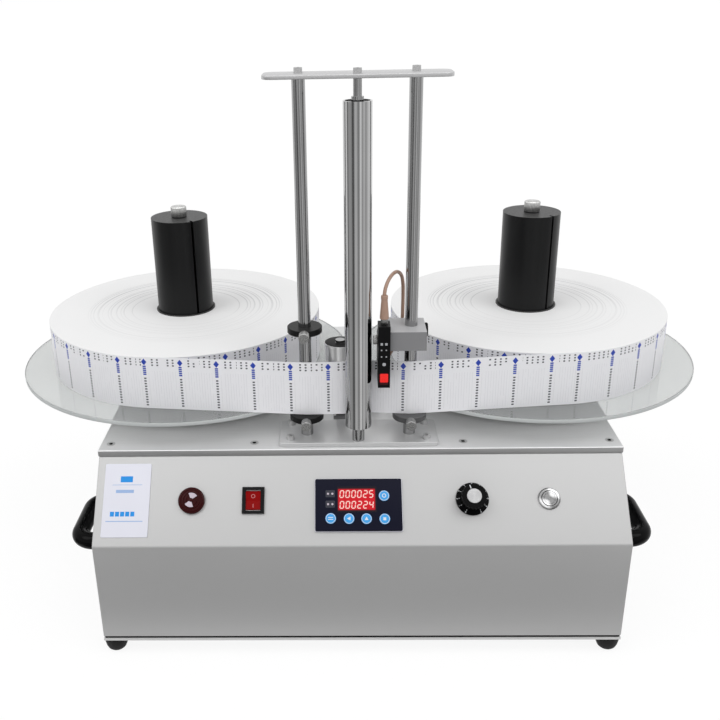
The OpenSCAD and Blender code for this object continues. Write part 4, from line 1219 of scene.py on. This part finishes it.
    def _keys(self) -> None:
        """Round keys with a pale rim and a mark for each."""
        up = prism([[-2.2, -1.6], [2.2, -1.6], [0, 2.2]], self.key_z)
        bars = [bar((-2.8, 2.8), (y - 0.4, y + 0.4), self.key_z) for y in (-1.1, 1.1)]
        marks = {
            "reset": (27.6, 55.3, washer(1.5, 2.3, self.key_z, 32)),
            "mode": (-32.5, 30, Surface.join(bars)),
            "shift": (-12, 29.7, up.placed([[0, -1, 0], [1, 0, 0], [0, 0, 1]], [0, 0, 0])),
            "up": (7.5, 29.5, up),
            "set": (27.8, 29.2, bar((-1.6, 1.6), (-1.6, 1.6), self.key_z)),
        }
        cap = revolve(self.key, 48)
        rim = washer(5.0, 5.5, (4.7, 4.84), 48)
        for name, (x, s, mark) in marks.items():
            make_piece(f"{name}_key_cap", on_panel(cap, x, s), f"{name}_cap", Palette.KEY,
                       [f"{name}_key"])
            pale = on_panel(Surface.join([rim, mark]), x, s)
            make_piece(f"{name}_key_mark", pale, f"{name}_cap", Palette.MARK)

    def _knob(self) -> None:
        """Skirted knob: fluted grip, bright cap with a painted bow-tie reflection, pointer, and a scale on
        the cone of the skirt.
        """
        skirt = revolve(self.skirt, 72)
        grip = knurled(14.0, 5.6, 18.7, 22, 0.8, 0.7)
        make_piece("knob_black", on_panel(Surface.join([skirt, grip]), self.knob_x, self.s), "speed_dial",
                   Palette.KNOB, ["speed_knob"])
        cap = revolve(self.knob_cap, 64)
        metal = self._turned("knob_cap_turned_painted_bowtie", self.knob_x, (0.56, 0.56, 0.565), 0.3, 20.0)
        make_piece("knob_cap", on_panel(cap, self.knob_x, self.s), "speed_dial", metal)
        marks = [bar((-0.5, 0.5), (9.0, 13.0), (18.68, 18.85)).placed(self._turn(20), [0, 0, 0])]
        for i in range(11):
            angle = math.radians(240 - 30 * i)
            marks.append(self._on_cone(bar((-0.22, 0.22), (-2.4, -0.9), (-0.02, 0.1)), angle))
            figure = numeral(str(i % 10), 1.0, 1.7, 0.36, (-0.02, 0.1))
            marks.append(self._on_cone(figure.moved([0, 1.3, 0]), angle))
        make_piece("knob_scale", on_panel(Surface.join(marks), self.knob_x, self.s), "speed_dial",
                   Palette.MARK)

    def _turned(self, name: str, x: float, colour: Colour, bowtie_shade: float,
                ray_deg: float) -> bpy.types.Material:
        """Turned metal about an axis that stands on the panel, with a painted bow-tie reflection."""
        centre = [x, self.s * math.cos(SLOPE), FRONT_H_MM + self.s * math.sin(SLOPE)]
        return TurnedFace.build(name, centre, PANEL_TURN[:, 2], colour, bowtie_shade, ray_deg)

    @staticmethod
    def _turn(angle_deg: float) -> Array:
        """Rotation about Z."""
        c, s = math.cos(math.radians(angle_deg)), math.sin(math.radians(angle_deg))
        return np.array([[c, -s, 0], [s, c, 0], [0, 0, 1]])

    @staticmethod
    def _on_cone(part: Surface, angle: float) -> Surface:
        """Lays a flat mark on the knob's cone, its top outward.

        Args:
            part: Mark about the origin.
            angle: Direction round the knob, in radians.

        Returns:
            The placed mark.
        """
        radial = np.array([math.cos(angle), math.sin(angle), 0])
        down = (3.8 * radial + [0, 0, -3.65]) / math.hypot(3.8, 3.65)
        side = np.array([math.sin(angle), -math.cos(angle), 0])
        matrix = np.column_stack([side, down, np.cross(side, down)])
        return part.placed(matrix, 16.3 * radial + [0, 0, 4.175])

    def _button(self) -> None:
        """Metal push button: bezel and turned cap, both with a painted bow-tie reflection."""
        metal = self._turned("button_turned_painted_bowtie", self.button_x, (0.78, 0.78, 0.785), 0.74, 48.0)
        bezel = revolve(self.bezel, 72)
        make_piece("button_bezel", on_panel(bezel, self.button_x, self.s), ROOT, metal,
                   ["button_housing"])
        cap = revolve(self.button, 72)
        make_piece("button_cap", on_panel(cap, self.button_x, self.s), "start_cap", metal,
                   ["start_button"])


@dataclass(frozen=True)
class Tower:
    """Guide collars, their thumbscrews and the roller's end cap."""

    post_x: float = 59.5
    post_y: float = 101.0
    upper_z: float = 343.0
    lower_z: float = 236.0
    screw_y: float = 81.4
    collar: Profile = ((7.15, 0), (19.0, 0), (19.5, 0.5), (19.5, 6.5), (19.0, 7), (7.15, 7), (7.15, 0))
    roller_xy: Pair = (0.0, 84.0)
    roller_cap_z: Pair = (593.05, 593.9)
    drum_xy: Pair = (-20.0, 112.0)
    drum_cap: Profile = ((5.6, 325.5), (17.4, 325.5), (17.9, 325.9), (17.4, 326.02), (5.6, 326.02),
                         (5.6, 325.5))

    def build(self) -> None:
        """Makes the pieces."""
        places = (("left_upper", "upper_left", -self.post_x, self.upper_z, Palette.COLLAR),
                  ("left_lower", "lower_left", -self.post_x, self.lower_z, Palette.COLLAR),
                  ("right_lower", "lower_right", self.post_x, self.lower_z, Palette.COLLAR_GREY))
        collar = revolve(self.collar, 72)
        neck = revolve([[0, 0], [4.2, 0], [4.2, 1.6], [0, 1.6]], 32)
        head = knurled(6.0, 1.4, 13.1, 26, 0.5, 0.8)
        screw = Surface.join([neck, head]).placed(AXIS_Y, [0, self.screw_y, 3.5])
        for node, body, x, z, finish in places:
            ring = collar.moved([x, self.post_y, z])
            make_piece(f"{node}_ring", ring, f"{body}_guide", finish, [f"{node}_collar"])
            make_piece(f"{node}_knurl", screw.moved([x, 0, z]), f"{body}_thumbscrew",
                       Palette.KNURL, [f"{node}_screw"])
        cap = washer(6.6, 12.9, self.roller_cap_z, 64).moved([*self.roller_xy, 0])
        make_piece("roller_end", cap, "centre_roller", Palette.BLACK)
        top = revolve(self.drum_cap, 64).moved([*self.drum_xy, 0])
        make_piece("drum_flange", top, "drum", Palette.BLACK)


@dataclass(frozen=True)
class SensorHead:
    """Fork sensor: window, printed marks, connector nut and boot, clamp knob and cable."""

    front_y: float = 72.0
    boot_xy: tuple[float, float] = (28.5, 82.0)
    mid_z: float = 339.0
    bolt_y: float = 84.0
    clamp_y: float = 114.0
    face_x: Pair = (23.8, 32.8)
    window_z: Pair = (292.6, 303.0)
    lens_z: Pair = (289.6, 292.8)
    boot: Profile = ((0, 364.4), (4.7, 364.4), (5.0, 364.8), (5.0, 367), (3.5, 385.8), (3.5, 386.4),
                     (3.8, 386.8), (3.8, 390.5), (3.4, 391), (0, 391))
    cable_d: float = 4.0
    route: tuple[Point, ...] = (
        (29.5, 84, 384), (28.5, 82, 391), (29.5, 84, 398), (32.5, 89.5, 404.5), (37, 97, 409),
        (42, 105.5, 410), (46.5, 113.5, 406.5), (49.7, 120.5, 399.5), (51.3, 125.5, 389.5),
        (51.8, 128.3, 377), (51.8, 129, 362), (51.5, 129, 347), (50, 128.5, 332), (46.5, 128, 322),
        (41.5, 130.5, 310), (36, 136, 297), (31, 143.5, 284), (26.5, 152.5, 270), (23, 161.5, 255),
        (20.5, 168.5, 240), (20, 172, 230), (20, 172, 221), (20, 172, 211))

    def build(self) -> None:
        """Makes the pieces."""
        body = "sensor_carriage"
        window = self._front(self.face_x, self.window_z, 0.25, 1.2)
        make_piece("sensor_window", window, body, Palette.LAMP)
        # The block's paler top is painted light.
        dress_node("sensor_block", BlockWithPaintedTop.build(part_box("sensor_block")[1][2]))
        lens = self._front(self.face_x, self.lens_z, 0.2, 0.8)
        make_piece("sensor_lens", lens, body, Palette.DARK_LAMP)
        marks = [self._front((x, x + 2.6), (336.6, 339.4), 0.12, 0.3) for x in (24.2, 29.2)]
        marks += [self._front((x, x + 1.5), (z, z + 1.5), 0.12, 0.3)
                  for x in (24.6, 29.8) for z in (322.4, 330.2)]
        marks.append(self._front((26.4, 30.2), (312.2, 316.0), 0.12, 1.6))
        make_piece("sensor_marks", Surface.join(marks), body, Palette.PALE_MARK)
        bolt = knurled(5.3, 16.3, 21.7, 24, 0.45, 0.6).placed(AXIS_X, [0, self.bolt_y, self.mid_z])
        make_piece("bolt_knurl", bolt, body, Palette.KNURL, ["sensor_bolt"])
        nut = knurled(4.0, 358, 365, 20, 0.4, 0.6).moved([*self.boot_xy, 0])
        make_piece("connector_nut", nut, body, Palette.KNURL)
        boot = revolve(self.boot, 36).moved([*self.boot_xy, 0])
        make_piece("boot_moulded", boot, body, Palette.CABLE, ["sensor_boot"])
        grip = knurled(8.0, 75.3, 79.2, 24, 0.7, 0.8).placed(AXIS_X, [0, self.clamp_y, self.mid_z])
        make_piece("clamp_grip", grip, "sensor_clamp", Palette.BLACK,
                   ["sensor_clamp_knob"])
        self._cable()

    def _front(self, x: Sequence[float], z: Sequence[float], rise: float, corner: float) -> Surface:
        """Flat plate on the sensor's front face.

        Args:
            x: Left and right.
            z: Bottom and top.
            rise: How far it stands out.
            corner: Corner radius.

        Returns:
            The closed surface.
        """
        flat = plate(x, z, (-0.2, rise), corner, rise / 2)
        return flat.placed(AXIS_Y, [0, self.front_y, 0])

    def line(self, steps: int = 8) -> Array:
        """The cable's centreline, a Catmull-Rom curve through the inner route points.

        Args:
            steps: Points in each span.

        Returns:
            Rows of x, y and z in cabinet mm.
        """
        p = np.array(self.route)
        t = np.linspace(0, 1, steps, endpoint=False)[None, :, None]
        a, b, c, d = (p[i:len(p) - 3 + i, None] for i in range(4))
        cubic = (3 * b - a - 3 * c + d) * t ** 3
        spans = 0.5 * (2 * b + (c - a) * t + (2 * a - 5 * b + 4 * c - d) * t ** 2 + cubic)
        return np.concatenate([spans.reshape(-1, 3), p[-2:-1]])

    def _cable(self) -> None:
        """Cable from the boot to the gland."""
        line = self.line()
        piece = make_piece("sensor_lead", tube(line, self.cable_d / 2, 16), None, Palette.CABLE,
                           ["sensor_cable"], sharp_deg=60)
        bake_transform(piece)


@dataclass(frozen=True)
class Reel:
    """One reel: clear disc, wound roll, a black ring of painted shade in the gap between mandrel and roll,
    and nut.
    """

    side: str
    x: float
    y: float = 291.0
    roll_r: float = 177.0
    low: float = 243.0
    high: float = 308.0
    gap: float = 0.05
    rim: float = 0.5
    inner_r: float = 38.4
    disc: Profile = ((14, 238), (215.2, 238), (216, 238.7), (216, 242.3), (215.2, 243), (14, 243),
                     (14, 238))
    sawn: Profile = ((215.7, 238.2), (216.03, 238.8), (216.03, 242.2), (215.7, 242.8), (215.7, 238.2))
    core: Profile = ((36.25, 243.1), (38.6, 243.1), (38.6, 309.2), (38.3, 309.5), (36.6, 309.5),
                     (36.25, 309.2), (36.25, 243.1))
    nut_z: Pair = (431.1, 444.2)
    nut_end: Profile = ((0, 444.0), (6.2, 444.0), (5.8, 445.0), (0, 445.0))

    def build(self) -> None:
        """Makes the pieces."""
        where = [self.x, self.y, 0]
        flank = revolve([[self.roll_r, self.low + self.gap], [self.roll_r, self.high - self.rim]], 256,
                        uv=True)
        flank.uv[:, 1] -= self.low
        wound = revolve([[self.inner_r, self.low + self.gap], [self.inner_r, self.high],
                         [self.roll_r - self.rim, self.high], [self.roll_r - 0.15, self.high - 0.15],
                         [self.roll_r, self.high - self.rim]], 192)
        edge = WoundEdge.build(f"{self.side}_wound_edge", row(where)[:2])
        nut = Surface.join([knurled(10.0, *self.nut_z, 34, 0.55, 0.9), revolve(self.nut_end, 40)])
        metal = TurnedFace.build(f"{self.side}_nut_turned", where, (0, 0, 1), (0.62, 0.62, 0.61))
        clear = ClearAcrylic.build()
        for name, part, body, finish, slot, nodes in (
                ("disc_clear", revolve(self.disc, 192), "reel", clear, "clear_disc", ["disc"]),
                ("disc_rim", revolve(self.sawn, 192), "reel", Palette.SAWN, "clear_disc", []),
                ("roll_flank", flank, "reel", PrintedPaper.build(), "label_paper", ["roll"]),
                ("roll_edge", wound, "reel", edge, "label_paper", []),
                # A black ring fills the gap between mandrel and roll as painted shade.
                ("core", revolve(self.core, 96), "reel", Palette.BORE_SHADE, "mandrel_black", []),
                ("nut_knurl", nut, "nut", metal, "knurled_steel", ["mandrel_knob"])):
            make_piece(f"{self.side}_{name}", part.moved(where), f"{self.side}_{body}", finish,
                       [f"{self.side}_{node}" for node in nodes])


@dataclass(frozen=True)
class Wheel:
    """A round thing that the strip passes, on its front or behind it."""

    x: float
    y: float
    radius: float
    side: int


@dataclass(frozen=True)
class LabelStrip:
    """Strip of labels from roll to roll, tangent to each thing that it passes."""

    thick: float = 0.5
    clear: float = 0.25
    low: float = 243.5
    high: float = 308.5
    wheels: tuple[Wheel, ...] = (
        Wheel(-225, 291, 177, 1), Wheel(-59.5, 101, 7, 1), Wheel(-20, 112, 17, 1), Wheel(0, 84, 15, -1),
        Wheel(59.5, 101, 7, 1), Wheel(225, 291, 177, 1))

    def line(self) -> Array:
        """Middle line of the strip.

        Each wheel has signed radius s = side (r + clearance + t / 2). A tangent run from wheel i to j
        heads at h = angle(d) - asin((s_j - s_i) / |d|) and touches at c - s (-sin h, cos h).

        Returns:
            Rows of x and y, in mm.
        """
        centres = np.array([[w.x, w.y] for w in self.wheels], float)
        signed = np.array([w.side * (w.radius + self.clear + self.thick / 2) for w in self.wheels])
        step = np.diff(centres, axis=0)
        crossing = np.arcsin(np.diff(signed) / np.linalg.norm(step, axis=1))
        heads = np.arctan2(step[:, 1], step[:, 0]) - crossing
        lead = math.radians(2.0)
        arrive = np.concatenate([[heads[0] - lead], heads])
        leave = np.concatenate([heads, [heads[-1] + lead]])
        points = []
        for centre, s, a, b in zip(centres, signed, arrive, leave):
            h = np.linspace(a, b, 14)
            points.append(centre - s * np.column_stack([-np.sin(h), np.cos(h)]))
        return np.concatenate(points)

    def build(self) -> None:
        """Makes the strip with its print running along it."""
        line = self.line()
        along = np.concatenate([[0], np.cumsum(np.linalg.norm(np.diff(line, axis=0), axis=1))])
        fine = np.linspace(0, along[-1], 700)
        mid = np.column_stack([np.interp(fine, along, line[:, k]) for k in (0, 1)])
        t = np.gradient(mid, axis=0)
        t /= np.linalg.norm(t, axis=1, keepdims=True)
        normal = np.column_stack([-t[:, 1], t[:, 0]]) * self.thick / 2
        front, back = mid - normal, mid + normal
        sides = ((front, self.low), (front, self.high), (back, self.high), (back, self.low))
        loops = np.stack([np.column_stack([a, np.full(len(a), z)]) for a, z in sides], 1)
        skin = loft(loops)
        width = self.high - self.low
        skin.uv = np.column_stack([np.repeat(fine, 4), np.tile([0, width, width, 0], len(fine))])
        strip = make_piece("label_strip", skin, ROOT, PrintedPaper.build(), ["label_web"],
                           sharp_deg=50)
        # Thin paper lets most light through, so it throws no hard shade on the roll behind it.
        strip.visible_shadow = False


@dataclass(frozen=True)
class FloorCard:
    """A wedge of the floor, by its angles from the front, that only gloss shows."""

    start_deg: float
    stop_deg: float
    tone: float
    near_m: float = 0.5
    far_m: float = 14.0


@dataclass(frozen=True)
class Studio:
    """White floor, soft light and the photograph's camera."""

    eye_mm: Point = (-19.06, -1099.5, 726.6)
    lens_mm: float = 45.152
    pitch_deg: float = 22.542
    yaw_deg: float = -1.674
    roll_deg: float = 1.234
    shift: float = 0.0601
    front_card: tuple[float, float, float] = (0.7, -0.3, -0.62)
    front_tone: float = 0.09
    card_centre: tuple[float, float] = (0.0, -0.17)
    cards: tuple[FloorCard, ...] = (
        FloorCard(-93, -80, 0.25), FloorCard(-80, -54, 0.46), FloorCard(-54, -46, 0.36),
        FloorCard(-46, -31, 0.12), FloorCard(-31, -25, 0.42), FloorCard(-25, -10, 0.7),
        FloorCard(-10, -3, 0.58), FloorCard(-3, 11, 0.36), FloorCard(11, 17, 0.64), FloorCard(26, 31, 0.8),
        FloorCard(31, 39, 0.46), FloorCard(39, 46, 0.58), FloorCard(46, 54, 0.8), FloorCard(54, 62, 0.6),
        FloorCard(62, 70, 0.46), FloorCard(70, 79, 0.6), FloorCard(79, 92, 0.78))

    def build(self) -> None:
        """Adds floor, world, light and camera."""
        self._floor()
        self._world()
        self._suns()
        self._cards()
        self._camera()

    @staticmethod
    def _seen(n: Nodes) -> bpy.types.NodeSocket:
        """Tells the rays that show the surroundings: from the camera, a gloss or a clear part.

        Args:
            n: Helper of the tree that asks.

        Returns:
            1 for such a ray, else 0.
        """
        path = n.add("ShaderNodeLightPath")
        seen = n.math("MAXIMUM", path.outputs["Is Camera Ray"], path.outputs["Is Glossy Ray"])
        return n.math("MAXIMUM", seen, path.outputs["Is Transmission Ray"])

    def _floor(self) -> None:
        """Large white floor whose shadows stay and whose open parts look white."""
        mesh = bpy.data.meshes.new("studio_floor")
        size = 60.0
        mesh.from_pydata([(-size, -size, 0), (size, -size, 0), (size, size, 0), (-size, size, 0)], [],
                         [(0, 1, 2, 3)])
        floor = bpy.data.objects.new("studio_floor", mesh)
        bpy.context.scene.collection.objects.link(floor)
        material, n, shader = new_material("studio_white")
        seen = self._seen(n)
        n.fill(shader, {"Base Color": n.mix(seen, (0.72, 0.72, 0.72), (0.9, 0.9, 0.9)), "Roughness": 0.9,
                        "Specular IOR Level": 0.0})
        light = n.add("ShaderNodeEmission", (1.0, 1.0, 1.0, 1.0), 1.02)
        blend = n.add("ShaderNodeMixShader", n.math("MULTIPLY", seen, 0.88), shader.outputs[0],
                      light.outputs[0])
        target = next(x for x in n.tree.nodes if x.type == "OUTPUT_MATERIAL")
        n.tree.links.new(blend.outputs[0], target.inputs["Surface"])
        mesh.materials.append(material)

    def _world(self) -> None:
        """Even light, dim for diffuse surfaces and bright in reflections."""
        world = bpy.data.worlds.new("studio_world")
        world.use_nodes = True
        bpy.context.scene.world = world
        n = Nodes(world.node_tree)
        back = next(x for x in world.node_tree.nodes if x.type == "BACKGROUND")
        n.fill(back, {"Strength": n.math("MULTIPLY_ADD", self._seen(n), 0.42, 0.58),
                      "Color": (1.0, 1.0, 1.0, 1.0)})

    def _suns(self) -> None:
        """Soft light from above: one broad lamp to each side and a weaker one in the middle."""
        for side, energy, tilt_deg in ((-1, 0.72, 37.0), (0, 0.35, 20.0), (1, 0.72, 37.0)):
            light = bpy.data.lights.new(f"soft_sun_{side + 1}", "SUN")
            light.energy = energy
            light.angle = math.radians(34)
            lamp = bpy.data.objects.new(light.name, light)
            lamp.rotation_euler = (math.radians(tilt_deg), 0.0, math.radians(60.0 * side))
            bpy.context.scene.collection.objects.link(lamp)

    def _cards(self) -> None:
        """Grey wedges on the floor that only gloss shows, so that round metal parts have streaks."""
        x, near, far = self.front_card
        loops, tones = [np.array([[-x, near], [x, near], [x, far], [-x, far]])], [self.front_tone]
        for card in self.cards:
            angles = np.radians(np.linspace(card.start_deg, card.stop_deg, 9))
            way = np.column_stack([np.sin(angles), -np.cos(angles)])
            loops.append(np.concatenate([card.near_m * way, card.far_m * way[::-1]]) + self.card_centre)
            tones.append(card.tone)
        points = [[*p, 0.002 + 0.0002 * i] for i, loop in enumerate(loops) for p in loop.tolist()]
        starts = np.concatenate([[0], np.cumsum([len(loop) for loop in loops])]).tolist()
        faces = [list(range(a, b)) for a, b in zip(starts, starts[1:])]
        mesh = bpy.data.meshes.new("gloss_cards")
        mesh.from_pydata(points, [], faces)
        levels = sorted(set(tones))
        for level in levels:
            mesh.materials.append(self._card_material(level))
        mesh.polygons.foreach_set("material_index", [levels.index(tone) for tone in tones])
        cards = bpy.data.objects.new("gloss_cards", mesh)
        for ray in ("camera", "diffuse", "transmission", "shadow"):
            setattr(cards, f"visible_{ray}", False)
        bpy.context.scene.collection.objects.link(cards)

    @staticmethod
    def _card_material(level: float) -> bpy.types.Material:
        """Plain grey that looks the same in any gloss.

        Args:
            level: How bright it looks, 1 for white.

        Returns:
            The card's material.
        """
        material, n, shader = new_material(f"gloss_card_{round(level * 100):03d}")
        n.fill(shader, {"Base Color": (0.0, 0.0, 0.0, 1.0), "Specular IOR Level": 0.0,
                        "Emission Color": (level, level, level, 1.0), "Emission Strength": 1.0})
        material.cycles.emission_sampling = "NONE"
        return material

    def _camera(self) -> None:
        """Camera at the photograph's station, from its pitch, yaw and roll."""
        pitch, yaw, roll = (math.radians(a) for a in (self.pitch_deg, self.yaw_deg, self.roll_deg))
        ahead = Vector((math.sin(yaw) * math.cos(pitch), math.cos(yaw) * math.cos(pitch), -math.sin(pitch)))
        right = Vector((math.cos(yaw), -math.sin(yaw), 0.0))
        down = ahead.cross(right)
        right, down = (right * math.cos(roll) + down * math.sin(roll),
                       down * math.cos(roll) - right * math.sin(roll))
        turn = Matrix((right, -down, -ahead)).transposed().to_4x4()
        data = bpy.data.cameras.new("photo_camera")
        data.lens = self.lens_mm
        data.sensor_width = 36.0
        data.shift_x = self.shift
        data.clip_end = 200.0
        camera = bpy.data.objects.new("photo_camera", data)
        camera.matrix_world = Matrix.Translation(Vector(self.eye_mm) / 1000.0) @ turn
        bpy.context.scene.collection.objects.link(camera)
        bpy.context.scene.camera = camera


def main() -> None:
    """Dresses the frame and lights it."""
    logging.basicConfig(level=logging.INFO, format="%(name)s: %(message)s")
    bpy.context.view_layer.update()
    for finish, nodes in NODE_FINISHES.items():
        for node in nodes:
            dress_node(node, finish.build())
    for sub_assembly in (CabinetBody(), PanelControls(), Tower(), SensorHead(), Reel("left", -225.0),
                         Reel("right", 225.0), LabelStrip(), Studio()):
        sub_assembly.build()
    bpy.context.scene.view_settings.view_transform = "Standard"


if __name__ == "__main__":
    main()
